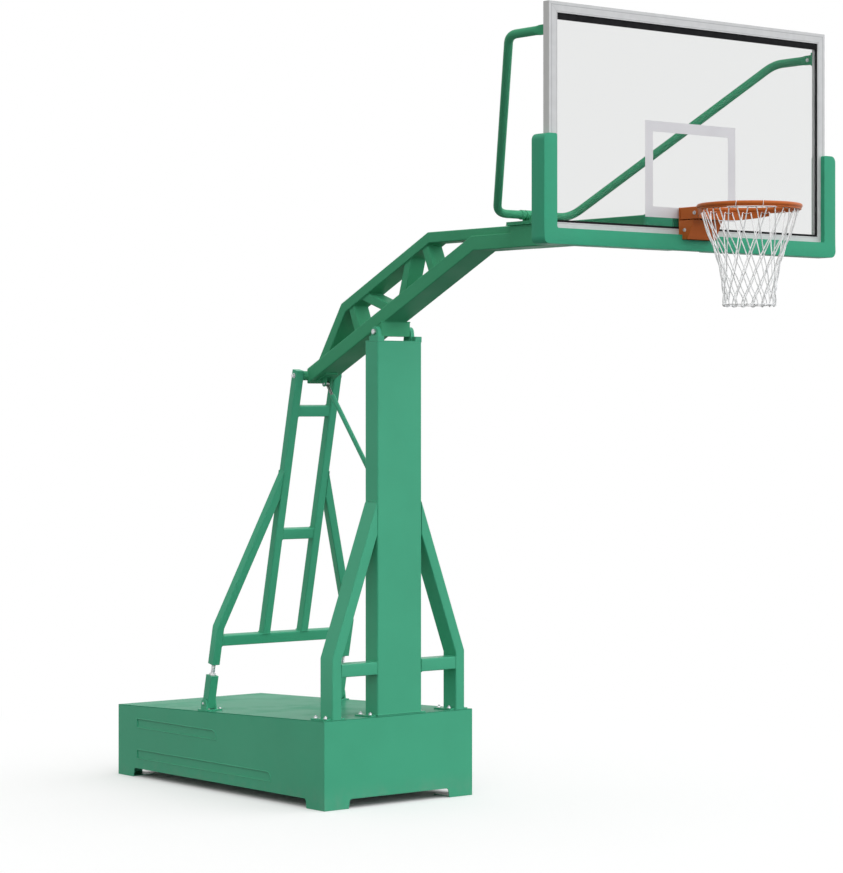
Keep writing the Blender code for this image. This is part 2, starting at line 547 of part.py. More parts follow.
def build_arm():
    slope = Vector((-math.cos(ARM_ANGLE), math.sin(ARM_ANGLE)))
    normal = Vector((slope.y, -slope.x))
    level = (-1.0, 0.0)
    # Lower chord: slope and level front in one mitred tube.
    corner = Vector((ARM_BEND_Y, ARM_UNDERSIDE))
    mitre = Vector((math.sin(ARM_ANGLE / 2), math.cos(ARM_ANGLE / 2)))
    bend = corner + mitre * (LOWER_HEIGHT / 2 / math.cos(ARM_ANGLE / 2))
    tail_y = STAY_Y - 0.016
    tail = meet(bend, slope, (tail_y, 0), (0, 1))
    nose = (HEAD_REAR + GAP, bend.y)
    lower_path = [tail, tuple(bend), nose]
    lower = tube("lower_chord", lower_path, LOWER_HEIGHT, 2 * LOWER_HALF, 0.005, (0, 0, 0), YZ,
                 ((0, 1), (0, 1)), (True, False))
    boolean(lower, rod("lower_chord_boss", 0.026, (-0.1035, 0.1035), STAY_Y, STAY_Z, count=32), "UNION")
    boolean(lower, rod("lower_chord_boss_bore", 0.0103, (-0.2, 0.2), STAY_Y, STAY_Z))
    settle(lower, "green", "arm_axis")
    top_edge = Vector(bend) + normal * (LOWER_HEIGHT / 2 + GAP)
    # Upper chord: steep tail, slope and level front.
    steep = Vector((-math.cos(math.radians(55.66)), math.sin(math.radians(55.66))))
    second = Vector((2.6956, 2.6787))
    third = Vector((1.940, ARM_TOP))
    half = UPPER_HEIGHT / 2
    inner_second = strip([second - steep * 0.1, second, second + slope * 0.1], half)[1]
    shift_second = (Vector(inner_second) - second)
    inner_third = strip([third - slope * 0.1, third, third + Vector(level) * 0.1], half)[1]
    shift_third = (Vector(inner_third) - third)
    mid_second, mid_third = second + shift_second, third + shift_third
    foot = meet(mid_second, steep, top_edge, slope)
    upper_path = [foot, tuple(mid_second), tuple(mid_third), (HEAD_REAR + GAP, mid_third.y)]
    upper = tube("upper_chord", upper_path, UPPER_HEIGHT, 2 * UPPER_HALF, 0.004, (0, 0, 0), YZ,
                 (tuple(slope), (0, 1)))
    saddle = solid("upper_chord_saddle", [strip(lower_path, LOWER_HEIGHT / 2 + GAP, ((0, 1), (0, 1)))], 0.09,
                   plane=YZ)
    boolean(upper, saddle)
    settle(upper, "green", "arm_axis")
    # Webs between the chords, each cut to the faces that it meets.
    under_edge = mid_third - normal * (half + GAP)
    webs = (((2.592, 2.600), (-0.400, -0.917)), ((2.400, 2.679), (-0.948, -0.318)),
            ((2.144, 2.800), (-0.302, 0.953)), ((1.951, 2.900), (-0.415, -0.910)))
    for index, (point, run) in enumerate(webs, 1):
        low = meet(point, run, top_edge, slope)
        high = meet(point, run, under_edge, slope)
        web = tube(f"web_{index}", [low, high], 0.05, 0.10, 0.003, (0, 0, 0), YZ,
                   (tuple(slope), tuple(slope)))
        settle(web, "green", "arm_axis")
    # Bearing block under the lower chord, turning on the post's pin.
    under = bend - normal * (LOWER_HEIGHT / 2 + GAP)
    y0, y1 = PIVOT_Y - 0.026, PIVOT_Y + 0.034
    z0 = meet((y0, 0), (0, 1), under, slope)[1]
    z1 = meet((y1, 0), (0, 1), under, slope)[1]
    outline = [(y0, PIVOT_Z - 0.024), (y1, PIVOT_Z - 0.024), (y1, z1), (y0, z0)]
    bearing = solid("pivot_block", [outline, circle(0.0143, 24, PIVOT_Y, PIVOT_Z)], 0.0965, plane=YZ)
    settle(bearing, "green", "arm_axis")
    # Head: the box beam that carries the board, with the plate and saddle for the two pipes.
    wall, wide = 0.005, 0.082
    outline = rounded(-wide, wide, ARM_UNDERSIDE, ARM_TOP, CORNER)
    middle = (0, (HEAD_REAR + HEAD_FRONT) / 2, 0)
    head = solid("arm_head", [outline], (HEAD_REAR - HEAD_FRONT) / 2, middle, XZ)
    hollow = block("arm_head_bore", (-wide + wall, wide - wall), (HEAD_FRONT - 0.01, HEAD_REAR - 0.006),
                   (ARM_UNDERSIDE + wall, ARM_TOP - wall))
    settle(boolean(head, hollow), "green", "arm_axis")
    saddle = block("pipe_saddle", (-0.09, 0.09), (1.045, 1.262), (ARM_TOP + GAP, ARM_TOP + 0.016))
    riser = block("pipe_saddle_block", (-0.045, 0.045), (1.118, 1.188), (ARM_TOP + 0.010, 3.075))
    boolean(saddle, riser, "UNION")
    boolean(saddle, rod("pipe_saddle_stub", 0.0245, (-0.06, 0.06), 1.153, 3.079, count=32), "UNION")
    settle(saddle, "green", "arm_axis")
    settle(rod("stay_pin", 0.010, (-0.168, 0.168), STAY_Y, STAY_Z), "steel", "arm_axis")
    # Lug under the chord for the strut.
    edge = meet((STRUT_TOP_Y, 0), (0, 1), under, slope)
    edge = Vector(edge)
    base = [edge + slope * a - normal * b for a, b in rectangle(-0.05, 0.05, 0.0, 0.008)]
    lug = solid("strut_lug_top", [base], 0.04, plane=YZ)
    for side in (-1, 1):
        ear = [edge - slope * 0.03 - normal * 0.004, edge + slope * 0.03 - normal * 0.004]
        ear += [(STRUT_TOP_Y + 0.016 * math.cos(t), STRUT_TOP_Z + 0.016 * math.sin(t))
                for t in (math.pi * (1.13 + i / 7) for i in range(7))]
        boolean(lug, solid(f"strut_lug_top_ear{side}", [ear], 0.003, (side * 0.0165, 0, 0), YZ), "UNION")
    pin = rod("strut_lug_top_pin", 0.006, (-0.024, 0.024), STRUT_TOP_Y, STRUT_TOP_Z, 12)
    boolean(lug, pin, "UNION")
    settle(lug, "green", "arm_axis")
    # Bracket that carries the ring's load straight past the glass.
    y0, y1 = FRAME_DEPTH + GAP, HEAD_FRONT - GAP
    bracket = block("head_bracket", (-0.10, 0.10), (y1 - 0.015, y1), (HOUSING_BOTTOM, ARM_TOP))
    for side in (-1, 1):
        x = sorted((side * 0.062, side * 0.070))
        cheek = block(f"head_bracket_cheek{side}", x, (y0 + 0.004, y1 - 0.01), (HOUSING_BOTTOM, 2.946))
        boolean(bracket, cheek, "UNION")
    boolean(bracket, block("head_bracket_back", (-0.09, 0.09), (y0, y0 + 0.008), (HOUSING_BOTTOM, 3.03)), "UNION")
    settle(bracket, "green", "arm_axis")


def pressed_end(name, x, y, z):
    """The end of a pipe that runs along Y: round at y, pressed to a flat 10 mm thick nearer the board."""
    work = bmesh.new()
    count = 16
    thin, tall = 0.005, 0.0235
    rings = []
    for depth, flat in ((y + 0.006, 0.0), (y - 0.016, 1.0), (FRAME_DEPTH + 0.003, 1.0)):
        ring = []
        for i in range(count):
            a = 2 * math.pi * (i + 0.5) / count
            across, up = (PIPE_RADIUS - 0.0006) * math.cos(a), (PIPE_RADIUS - 0.0006) * math.sin(a)
            pressed = max(-thin, min(thin, across)), tall * max(-1.0, min(1.0, 1.1 * math.sin(a)))
            place = (x + across * (1 - flat) + pressed[0] * flat, depth, z + up * (1 - flat) + pressed[1] * flat)
            ring.append(work.verts.new(place))
        rings.append(ring)
    for ring, following in zip(rings, rings[1:]):
        for i in range(count):
            j = (i + 1) % count
            work.faces.new((ring[i], ring[j], following[j], following[i]))
    work.faces.new(rings[0][::-1])
    work.faces.new(rings[-1])
    bmesh.ops.recalc_face_normals(work, faces=work.faces)
    mesh = bpy.data.meshes.new(name)
    work.to_mesh(mesh)
    work.free()
    return finish(name, mesh)


def build_pipes():
    for name, side in (("left", -1), ("right", 1)):
        route = [(0.0605, 1.153, 3.079), (0.242, 1.153, 3.079), (0.868, 0.318, 3.828), (0.868, 0.118, 3.828)]
        points = [Vector((side * x, y, z)) for x, y, z in route]
        line = [points[0]]
        for before, corner, after, bend in ((0, 1, 2, 0.085), (1, 2, 3, 0.075)):
            a = points[corner] + (points[before] - points[corner]).normalized() * bend
            b = points[corner] + (points[after] - points[corner]).normalized() * bend
            for i in range(9):
                t = i / 8
                line.append(a.lerp(points[corner], t).lerp(points[corner].lerp(b, t), t))
        line.append(points[3])
        pipe = from_curve("board_pipe_" + name, round_curve("pipe", line, PIPE_RADIUS, 4, caps=False))
        wall = pipe.modifiers.new("Solidify", "SOLIDIFY")
        wall.thickness = 0.003
        wall.offset = -1.0
        # The end is pressed flat, upright, and welded to a foot on the frame's back.
        x, y, z = side * route[3][0], route[3][1], route[3][2]
        boolean(pipe, pressed_end("board_pipe_end_" + name, x, y, z), "UNION")
        foot = block("board_pipe_foot_" + name, (x - 0.022, x + 0.022),
                     (FRAME_DEPTH + GAP, FRAME_DEPTH + 0.006), (z - 0.032, z + 0.032))
        boolean(pipe, foot, "UNION")
        settle(pipe, "green", "arm_axis")


def build_board():
    left, right = -BOARD_WIDTH / 2, BOARD_WIDTH / 2
    low, high = BOARD_BOTTOM, BOARD_BOTTOM + BOARD_HEIGHT
    w, d = FRAME_WIDTH, FRAME_DEPTH
    slot0, slot1 = 0.0045, GLASS_FRONT + GLASS_THICKNESS + GAP
    section = [(0, 0), (w, 0), (w, slot0), (0.004, slot0), (0.004, slot1), (w, slot1), (w, d), (0, d)]
    chamber = rectangle(0.004, w - 0.004, slot1 + 0.003, d - 0.003)
    middle = (low + high) / 2
    bars = (("frame_bottom", (0, low), (1, 0), (0, 1)), ("frame_top", (0, high), (1, 0), (0, -1)),
            ("frame_left", (left, middle), (0, 1), (1, 0)), ("frame_right", (right, middle), (0, 1), (-1, 0)))
    for name, place, run, inward in bars:
        across = Vector((inward[0], 0, inward[1]))
        back = Vector((0, 1, 0))
        turn = Matrix((across, back, across.cross(back))).transposed()
        long = (BOARD_WIDTH if run[0] else BOARD_HEIGHT) / 2
        bar = solid(name, [section, chamber], long, (place[0], 0, place[1]), turn)
        # Each end is cut at 45 degrees, half the clearance short of the joint.
        end, over = long - GAP / 2, w + 0.01
        trim = [(-end - 0.001, -0.001), (end + 0.001, -0.001), (end - over, over), (-end + over, over)]
        corners = [Vector(place) + Vector(run) * a + Vector(inward) * b for a, b in trim]
        mitre = solid(name + "_mitre", [corners], d, (0, d / 2, 0), XZ)
        boolean(bar, mitre, "INTERSECT")
        settle(bar, "aluminium", "arm_axis")
    edge = 0.0082
    depth = (GLASS_FRONT, GLASS_FRONT + GLASS_THICKNESS)
    glass = block("glass", (left + edge, right - edge), depth, (low + edge, high - edge))
    settle(glass, "glass", "arm_axis")
    # Dark seal between the glass and the frame's front lip, which shows inside it, most along the top.
    loops = [rectangle(left + 0.03, right - 0.03, low + 0.03, high - 0.03),
             rectangle(left + w + 0.012, right - w - 0.012, low + w + 0.0105, high - w - 0.03)]
    y0, y1 = slot0 + GAP, GLASS_FRONT - GAP
    settle(solid("glass_seal", loops, (y1 - y0) / 2, (0, (y0 + y1) / 2, 0), XZ), "black", "arm_axis")
    # Padding along the bottom edge and up both corners, rounded most along its outer front edge.
    outer, bottom = right + PAD_WRAP, low - PAD_UNDER
    inner, lip, top = outer - PAD_LEG, low + 0.022, low - PAD_UNDER + PAD_HEIGHT
    outline = [(-outer, bottom), (outer, bottom), (outer, top), (inner, top),
               (inner, lip), (-inner, lip), (-inner, top), (-outer, top)]
    big, small, least = 0.030, 0.018, 0.010
    outline = fillet(outline, {0: big, 1: big, 2: big, 3: small, 4: least, 5: least, 6: small, 7: big})
    front, back = -PAD_FRONT, d + PAD_BACK
    pad = solid("pad", [outline], (back - front) / 2, (0, (front + back) / 2, 0), XZ)

    def softness(middle, way):
        if abs(way.y) > 0.5:
            return 0.0
        inside = abs(middle.x) < inner + 0.021 and middle.z > lip - 0.001
        return (0.25 if inside else 1.0) * (1.0 if middle.y < 0 else 0.5)

    round_edges(pad, softness, 0.020, 3)
    clear = GAP
    envelope = block("pad_frame", (left - clear, right + clear), (-clear, d + clear), (low - clear, high))
    notch = block("pad_ring", (-HOUSING_HALF - 0.0015, HOUSING_HALF + 0.0015), (-0.2, 0.012),
                  (HOUSING_BOTTOM - 0.0015, 3.0))
    boolean(envelope, notch, "UNION")
    boolean(pad, envelope)
    boolean(pad, block("pad_bracket", (-0.103, 0.103), (0.030, 0.2), (2.8, 3.0)))
    settle(pad, "pad", "arm_axis")


def hoop(name, radius, half, z, sides):
    """A round bar bent into a full circle about the ring's centre."""
    bpy.ops.mesh.primitive_torus_add(major_radius=radius, minor_radius=half, major_segments=72,
                                     minor_segments=sides)
    torus = bpy.context.object
    mesh = torus.data
    bpy.data.objects.remove(torus, do_unlink=True)
    return finish(name, mesh, Matrix.Translation((0, -RING_CENTRE, z)))


def build_ring():
    top, bottom = RING_HEIGHT, HOUSING_BOTTOM
    ceiling = top - 0.0063      # underside of the channel's top
    seam = 2.994                # lower edge of the channel
    deck = seam - 0.005         # top of the housing
    under = bottom - 0.01
    y, z = RING_PIN_Y, RING_PIN_Z
    plate = [(-GAP, bottom), (-GAP, top), (-0.0063, top), (-0.0063, deck), (-0.104, deck), (-0.060, bottom)]
    inside = [(-0.0063, under), (-0.0063, deck - 0.004), (-0.0985, deck - 0.004), (-0.0535, under)]
    housing = solid("ring_housing", [plate], HOUSING_HALF, plane=YZ)
    boolean(housing, solid("ring_housing_bore", [inside], HOUSING_HALF - 0.004, plane=YZ))
    for side in (-1, 1):
        lug = [(-0.045, deck - 0.002), (-0.045, z + 0.006), (y, z + 0.014), (y - 0.010, z + 0.010),
               (y - 0.014, z), (y - 0.010, z - 0.010), (-0.1025, deck - 0.002)]
        boolean(housing, solid(f"ring_housing_lug{side}", [lug], 0.005, (side * 0.060, 0, 0), YZ), "UNION")
    boolean(housing, rod("ring_housing_hole", 0.0063, (-0.1, 0.1), y, z, count=16))
    settle(housing, "orange", "arm_axis")
    stop = block("ring_stop", (-0.05, 0.05), (-0.040, -0.020), (deck + GAP, ceiling - GAP))
    settle(stop, "black", "arm_axis")
    reach = HOUSING_HALF + 0.0065
    settle(rod("ring_pin", 0.006, (-reach, reach), y, z, count=16), "steel", "arm_axis")
    # Ring, the rod under it, the apron below its back half and the channel that turns on the pin: one weldment.
    radius = RING_INNER + RING_BAR / 2
    ring = hoop("ring", radius, RING_BAR / 2, RING_HEIGHT - RING_BAR / 2, 12)
    boolean(ring, hoop("ring_rod", radius, RING_ROD / 2, ROD_HEIGHT, 8), "UNION")
    open_side = math.radians(APRON_END)
    steps = 36
    arc = [open_side + (math.pi - 2 * open_side) * i / steps for i in range(steps + 1)]
    apron = [(r * math.cos(a), -RING_CENTRE + r * math.sin(a))
             for r, way in ((radius + APRON / 2, arc), (radius - APRON / 2, arc[::-1])) for a in way]
    skirt = solid("ring_apron", [apron], 0.0245, (0, 0, 3.0145))
    below = [(-0.40, 2.9), (-0.10, 2.9), (-0.10, 2.990), (-0.17, 2.990), (-0.292, 3.009), (-0.40, 3.023)]
    boolean(skirt, solid("ring_apron_taper", [below], 0.3, plane=YZ))
    boolean(ring, skirt, "UNION")
    wide, inner = HOUSING_HALF, HOUSING_HALF - 0.006
    channel = [(-wide, seam), (-inner, seam), (-inner, ceiling), (inner, ceiling), (inner, seam), (wide, seam),
               (wide, top), (-wide, top)]
    channel = fillet(channel, {6: 0.005, 7: 0.005}, 2)
    reach = solid("ring_channel", [channel], 0.0715, (0, -0.0835, 0), XZ)
    boolean(reach, rod("ring_channel_hole", 0.0063, (-0.1, 0.1), y, z, count=16))
    boolean(reach, cylinder("ring_channel_end", radius - 0.0015, 0.2, (0, -RING_CENTRE, 3.0), count=64))
    boolean(ring, reach, "UNION")
    settle(ring, "orange", "ring_axis")
    # Return spring wound round the pin between the lugs.
    turns, count, wire, span = 7, 12, 0.0022, 0.042
    coil = 0.006 + wire + GAP
    line = []
    for i in range(turns * count + 1):
        a = 2 * math.pi * i / count
        line.append((span * (i / (turns * count) - 0.5), y + coil * math.cos(a), z + coil * math.sin(a)))
    print("ring_spring least gap to itself: %.2f mm" % (1000 * least_gap(line, wire)))
    settle(from_curve("ring_spring", round_curve("spring", line, wire, 1)), "steel", "arm_axis")


def net_radius(t):
    """Radius of the net's wall, t from 0 at the ring to 1 at the mouth."""
    knots = ((0.0, 1.0), (0.2, 0.71), (0.45, 0.40), (0.7, 0.17), (0.9, 0.02), (1.0, 0.0))
    for (t0, share0), (t1, share1) in zip(knots, knots[1:]):
        if t <= t1:
            share = share0 + (share1 - share0) * (t - t0) / (t1 - t0)
            break
    widest = RING_INNER + RING_BAR / 2 - APRON / 2 - NET_CORD - 2 * GAP
    return NET_MOUTH + (widest - NET_MOUTH) * share


def build_net():
    """One cord that runs down and up between the ring and the mouth, five sixteenths of a turn a loop,
    laid outside on the way down and inside on the way up, so that it crosses and never touches itself."""
    steps, across = 8, 5
    seat = RING_ROD / 2 + NET_CORD + 2 * GAP
    inset = RING_INNER + RING_BAR / 2 - net_radius(0)
    top = ROD_HEIGHT - math.sqrt(seat * seat - inset * inset)
    line = []
    pitch = 2 * math.pi / NET_LOOPS
    for loop in range(NET_LOOPS):
        for leg in (0, 1):
            for i in range(steps):
                t = i / steps
                down = t if leg == 0 else 1 - t
                a = pitch * (loop * across + across * (leg + t) / 2)
                lay = (NET_CORD + 0.0005) * (1 if leg == 0 else -1) * min(1.0, 8 * min(t, 1 - t))
                r = net_radius(down) + lay
                line.append((r * math.cos(a), -RING_CENTRE + r * math.sin(a), top - down * NET_LENGTH))
    print("net least gap to itself: %.2f mm" % (1000 * least_gap(line, NET_CORD, closed=True)))
    settle(from_curve("net", round_curve("net", line, NET_CORD, 1, closed=True)), "net", "ring_axis")


def build_stay():
    """Drawn in the stay's own plane: X across, Z up along it, zero at the pin."""
    t = STAY_TUBE
    foot_end = SOCKET_TOP + SCREW_GAP - LINK_LENGTH
    rail = foot_end + 0.166
    wall = 0.003
    for name, side in (("left", -1), ("right", 1)):
        x = side * (STAY_HALF - t / 2)
        upright = tube("upright_" + name, [(x, rail + GAP), (x, 0.031)], t, t, wall, (0, 0, 0), XZ,
                       closed=(False, True))
        boolean(upright, rod(f"upright_{name}_bore", 0.0103, (-0.2, 0.2), 0, 0))
        ride(upright, "green", "stay_axis")
        rake = Vector((0.315, 0.874)).normalized()
        outer_x, bend_z = STAY_FOOT_HALF, rail + 0.049
        bend = (side * (outer_x - t / 2), bend_z - t / 2 * math.tan(math.atan2(rake.x, rake.y) / 2))
        top = meet(bend, (-side * rake.x, rake.y), (side * (STAY_HALF + GAP), 0), (0, 1))
        foot = (side * (outer_x - t / 2), foot_end)
        leg = solid("outrigger_" + name, [strip([foot, bend, top], t / 2, (None, (0, 1)))], t / 2, plane=XZ)
        round_along(leg, [foot, bend, top], XZ)
        high = Vector(top) + (Vector(top) - Vector(bend)).normalized() * 0.1
        low = (foot[0], foot[1] + 0.012)
        hollow = strip([low, bend, high], t / 2 - wall)
        boolean(leg, solid(f"outrigger_{name}_bore", [hollow], t / 2 - wall, plane=XZ))
        nut = cylinder(f"outrigger_{name}_nut", 0.0135, 0.06, (foot[0], 0, foot[1]))
        ride(boolean(leg, nut), "green", "stay_axis")
    x = STAY_HALF - t - GAP
    for name, z in (("rung_upper", -0.198), ("rung_lower", rail + 0.569)):
        ride(tube(name, [(-x, z), (x, z)], 0.06, 0.044, wall, (0, 0, 0), XZ), "green", "stay_axis")
    x = STAY_FOOT_HALF - t - GAP
    foot_rail = tube("bottom_rail", [(-x, rail - 0.03), (x, rail - 0.03)], 0.06, 0.044, wall, (0, 0, 0), XZ)
    ride(foot_rail, "green", "stay_axis")


def build_adjusters():
    """Each foot of the stay: a link on the base's pin, with the screw that runs up into the outrigger."""
    half = STAY_TUBE / 2
    deck = deck_height(LINK_Y)
    for name, side in (("left", -1), ("right", 1)):
        parent = "link_axis_" + name
        link = block("link_" + name, (-half, half), (-half, half), (-0.025, SOCKET_TOP))
        inner = (-half + 0.004, half - 0.004)
        boolean(link, block(f"link_{name}_bore", inner, inner, (-0.1, SOCKET_TOP - 0.015)))
        boolean(link, rod(f"link_{name}_hole", 0.0093, (-0.1, 0.1), 0, 0))
        boolean(link, cylinder(f"link_{name}_socket", 0.0123, 0.06, (0, 0, SOCKET_TOP + 0.01)))
        ride(link, "green", parent)
        screw = cylinder("screw_" + name, 0.012, SCREW, (0, 0, SOCKET_TOP - 0.015 + SCREW / 2 + GAP))
        ride(screw, "steel", parent)
        x = sorted((side * (LINK_X - 0.060), side * min(LINK_X + 0.045, BASE_WIDTH / 2 - 0.0045)))
        ears = block("link_bracket_" + name, x, (LINK_Y - 0.045, LINK_Y + 0.045), (deck - 0.02, deck + PLATE))
        for edge in (-1, 1):
            x = side * LINK_X + edge * (half + 0.005)
            outline = [(LINK_Y - 0.03, deck + 0.002), (LINK_Y + 0.03, deck + 0.002),
                       (LINK_Y + 0.022, LINK_Z + 0.012), (LINK_Y + 0.012, LINK_Z + 0.022),
                       (LINK_Y - 0.012, LINK_Z + 0.022), (LINK_Y - 0.022, LINK_Z + 0.012)]
            boolean(ears, solid(f"link_bracket_{name}_ear{edge}", [outline], 0.004, (x, 0, 0), YZ), "UNION")
        x = (side * LINK_X - 0.040, side * LINK_X + 0.040)
        boolean(ears, rod(f"link_bracket_{name}_pin", 0.009, x, LINK_Y, LINK_Z), "UNION")
        settle(rest_on_deck(ears, 0.6), "green")


def build_strut():
    """Drawn along the strut: a tube hinged on the post and, inside it, a bar hinged under the arm."""
    eye = solid("strut_tube", [circle(0.0140), circle(0.0063, 16)], 0.0145, (0, 0, 0), YZ)
    long = STRUT_LENGTH - 0.085
    rings = [circle(0.0130), circle(0.0093, 16)]
    body = solid("strut_tube_body", rings, (long - 0.010) / 2, (0, 0, (long + 0.010) / 2))
    boolean(eye, body, "UNION")
    boolean(eye, rod("strut_tube_hole", 0.0063, (-0.05, 0.05), 0, 0, count=16))
    ride(eye, "green", "strut_low_axis")
    eye = solid("strut_bar", [circle(0.0130), circle(0.0063, 16)], 0.0125, (0, 0, 0), YZ)
    boolean(eye, cylinder("strut_bar_body", 0.0080, 0.24, (0, 0, -0.13)), "UNION")
    boolean(eye, rod("strut_bar_hole", 0.0063, (-0.05, 0.05), 0, 0, count=16))
    ride(eye, "steel", "strut_top_axis")


build_base()
build_post()
build_arm()
build_pipes()
build_board()
build_ring()
build_net()
build_stay()
build_adjusters()
build_strut()
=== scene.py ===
"""Portable basketball backstop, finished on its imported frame: a ballasted steel stand that carries a
glass board, its padding, a yielding ring and a cord net. Metres, +Z up, the board faces -Y."""
import json
from contextlib import contextmanager
from math import ceil, cos, pi, radians, sin, sqrt

import bmesh
import bpy
from mathutils import Matrix, Vector


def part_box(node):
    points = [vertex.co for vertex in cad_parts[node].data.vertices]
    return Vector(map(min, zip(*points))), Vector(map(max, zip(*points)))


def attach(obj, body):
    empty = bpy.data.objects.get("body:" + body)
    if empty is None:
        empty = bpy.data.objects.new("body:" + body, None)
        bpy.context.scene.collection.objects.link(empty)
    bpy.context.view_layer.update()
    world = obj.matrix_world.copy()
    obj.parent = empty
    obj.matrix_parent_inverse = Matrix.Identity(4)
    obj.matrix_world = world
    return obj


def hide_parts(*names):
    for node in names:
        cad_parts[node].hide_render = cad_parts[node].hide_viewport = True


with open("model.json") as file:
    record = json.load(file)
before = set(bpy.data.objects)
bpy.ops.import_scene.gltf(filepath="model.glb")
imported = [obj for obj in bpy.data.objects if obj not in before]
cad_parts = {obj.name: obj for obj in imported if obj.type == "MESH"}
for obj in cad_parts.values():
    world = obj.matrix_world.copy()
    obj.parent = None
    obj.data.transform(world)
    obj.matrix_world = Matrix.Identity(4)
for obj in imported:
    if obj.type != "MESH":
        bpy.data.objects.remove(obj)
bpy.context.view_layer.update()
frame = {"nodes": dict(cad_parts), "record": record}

nodes = frame["nodes"]
bpy.ops.object.select_all(action="DESELECT")

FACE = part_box("frame_bottom")[0].y      # depth of the board's face
X, Y, Z = Vector((1, 0, 0)), Vector((0, 1, 0)), Vector((0, 0, 1))


def at(x, y, z):
    """A place given by its distance behind the board's face."""
    return Vector((x, FACE + y, z))


# Sizes that several pieces share: a pair is a distance behind the board's face and a height

SIDES = (-1, 1)                         # left and right
BOARD_SIDE, BOARD_LOW, BOARD_TOP = 0.900, 2.900, 3.950
BASE_SIDE, BASE_FRONT, BASE_LENGTH = 0.500, 2.250, 2.000
RING = at(0, -0.376, 3.04)              # middle of the ring's bar
RING_RADIUS = 0.235
RING_PIN = (-0.107, 3.021)
PIVOT_PIN = (2.312, 2.517)
STAY_PIN = (2.999, 2.289)
STRUT_FOOT_PIN = (2.405, 1.631)
STRUT_TOP_PIN = (2.907, 2.244)
HOUSING_BOLT = (-0.040, 2.943)
LINK_SIDE, LINK_PIN = 0.447, (3.40093, 0.47299)
PIPE_SIDE, PIPE_HEIGHT = 0.868, 3.828   # where the pipes meet the frame
UP_STAY = Vector((0, -0.21610, 0.97637))
OFF_STAY = Vector((0, 0.97637, 0.21610))
UP_ARM = Vector((0, -0.90631, 0.42262)) # along the arm's slanting part


def deck(y):
    """Height of the sloping deck."""
    return 0.471 - 0.0345 * (y - BASE_FRONT)


# Shader maths

class Signal:
    """A node's socket, on which Python's operators add Math nodes."""

    def __init__(self, recipe, socket):
        self.recipe = recipe
        self.socket = socket

    def math(self, operation, *values):
        return self.recipe.math(operation, *values)

    def __add__(self, other):
        return self.math("ADD", self, other)

    def __sub__(self, other):
        return self.math("SUBTRACT", self, other)

    def __rsub__(self, other):
        return self.math("SUBTRACT", other, self)

    def __mul__(self, other):
        return self.math("MULTIPLY", self, other)

    def __abs__(self):
        return self.math("ABSOLUTE", self)

    def __and__(self, other):
        return self.math("MINIMUM", self, other)

    def __or__(self, other):
        return self.math("MAXIMUM", self, other)

    __radd__ = __add__
    __rmul__ = __mul__
    __rand__ = __and__
    __ror__ = __or__


class Recipe:
    """Shader nodes, each added to the tree by one method."""

    def __init__(self, tree):
        self.tree = tree

    def node(self, kind, settings, *values, out=0, sockets=None, **named):
        """A node, its settings first, then its sockets' values or links, by number or by name."""
        made = self.tree.nodes.new(kind)
        for key, value in settings.items():
            setattr(made, key, value)
        for socket, value in (*zip(sockets or range(len(values)), values), *named.items()):
            if isinstance(socket, str):
                socket = socket.replace("_", " ")
            self.feed(made.inputs[socket], value)
        return Signal(self, made.outputs[out]) if made.outputs else None

    def math(self, operation, *values):
        return self.node("ShaderNodeMath", {"operation": operation}, *values)

    def feed(self, target, value):
        if isinstance(value, Signal):
            self.tree.links.new(value.socket, target)
        else:
            target.default_value = value

    def seen(self):
        """1 for what the camera sees, also in a gloss or through the pane."""
        rays = [self.node("ShaderNodeLightPath", {}, out=kind) for kind in
                ("Is Camera Ray", "Is Glossy Ray", "Is Transmission Ray")]
        return rays[0] | rays[1] | rays[2]


class Finish(Recipe):
    """A material and the nodes that make it."""

    def __init__(self, name, colour, roughness, metallic=0.0, **sockets):
        self.material = bpy.data.materials.new(name)
        self.material.use_nodes = True
        super().__init__(self.material.node_tree)
        self.shader = self.tree.nodes["Principled BSDF"]
        self.set("Base Color", (*colour, 1.0))
        self.set("Roughness", roughness)
        self.set("Metallic", metallic)
        for socket, value in sockets.items():
            self.set(socket.replace("_", " "), value)
        self.place = self.node("ShaderNodeTexCoord", {}, out="Object")
        self.x, self.y, self.z = (self.node("ShaderNodeSeparateXYZ", {}, self.place, out=i) for i in range(3))

    def set(self, socket, value):
        self.feed(self.shader.inputs[socket], value)

    def noise(self, scale, detail, roughness=0.5, stretch=None):
        """Cloudy noise, its grain drawn out by the stretch."""
        where = self.node("ShaderNodeMapping", {}, self.place, Scale=stretch) if stretch else self.place
        return self.node("ShaderNodeTexNoise", {}, Vector=where, Scale=scale, Detail=detail,
                         Roughness=roughness)

    def spread(self, signal, low, high, to_low=0.0, to_high=1.0):
        """The signal from low to high, eased and laid out from to_low to to_high."""
        return self.node("ShaderNodeMapRange", {"interpolation_type": "SMOOTHSTEP"}, signal, low, high,
                         to_low, to_high)

    def blend(self, share, first, second):
        """From the first colour to the second."""
        colours = [colour if isinstance(colour, Signal) else (*colour, 1.0) for colour in (first, second)]
        return self.node("ShaderNodeMix", {"data_type": "RGBA"}, share, *colours, out=2, sockets=(0, 6, 7))

    def bump(self, height, distance, strength):
        bump = self.node("ShaderNodeBump", {}, Strength=strength, Distance=distance, Height=height)
        self.set("Normal", bump)


# Finishes

GREEN = (0.064, 0.406, 0.236)
# The arm's green is GREEN darkened: painted shade on the arm, its pipes and its welds, which lie in the
# board's shade
SHADED_ARM_GREEN = (0.064, 0.352, 0.186)
PAD_GREEN = (0.042, 0.346, 0.200)
ORANGE = (0.495, 0.116, 0.021)


def shade(colour, by):
    """A colour made lighter or darker."""
    return tuple(min(1.0, part * by) for part in colour)


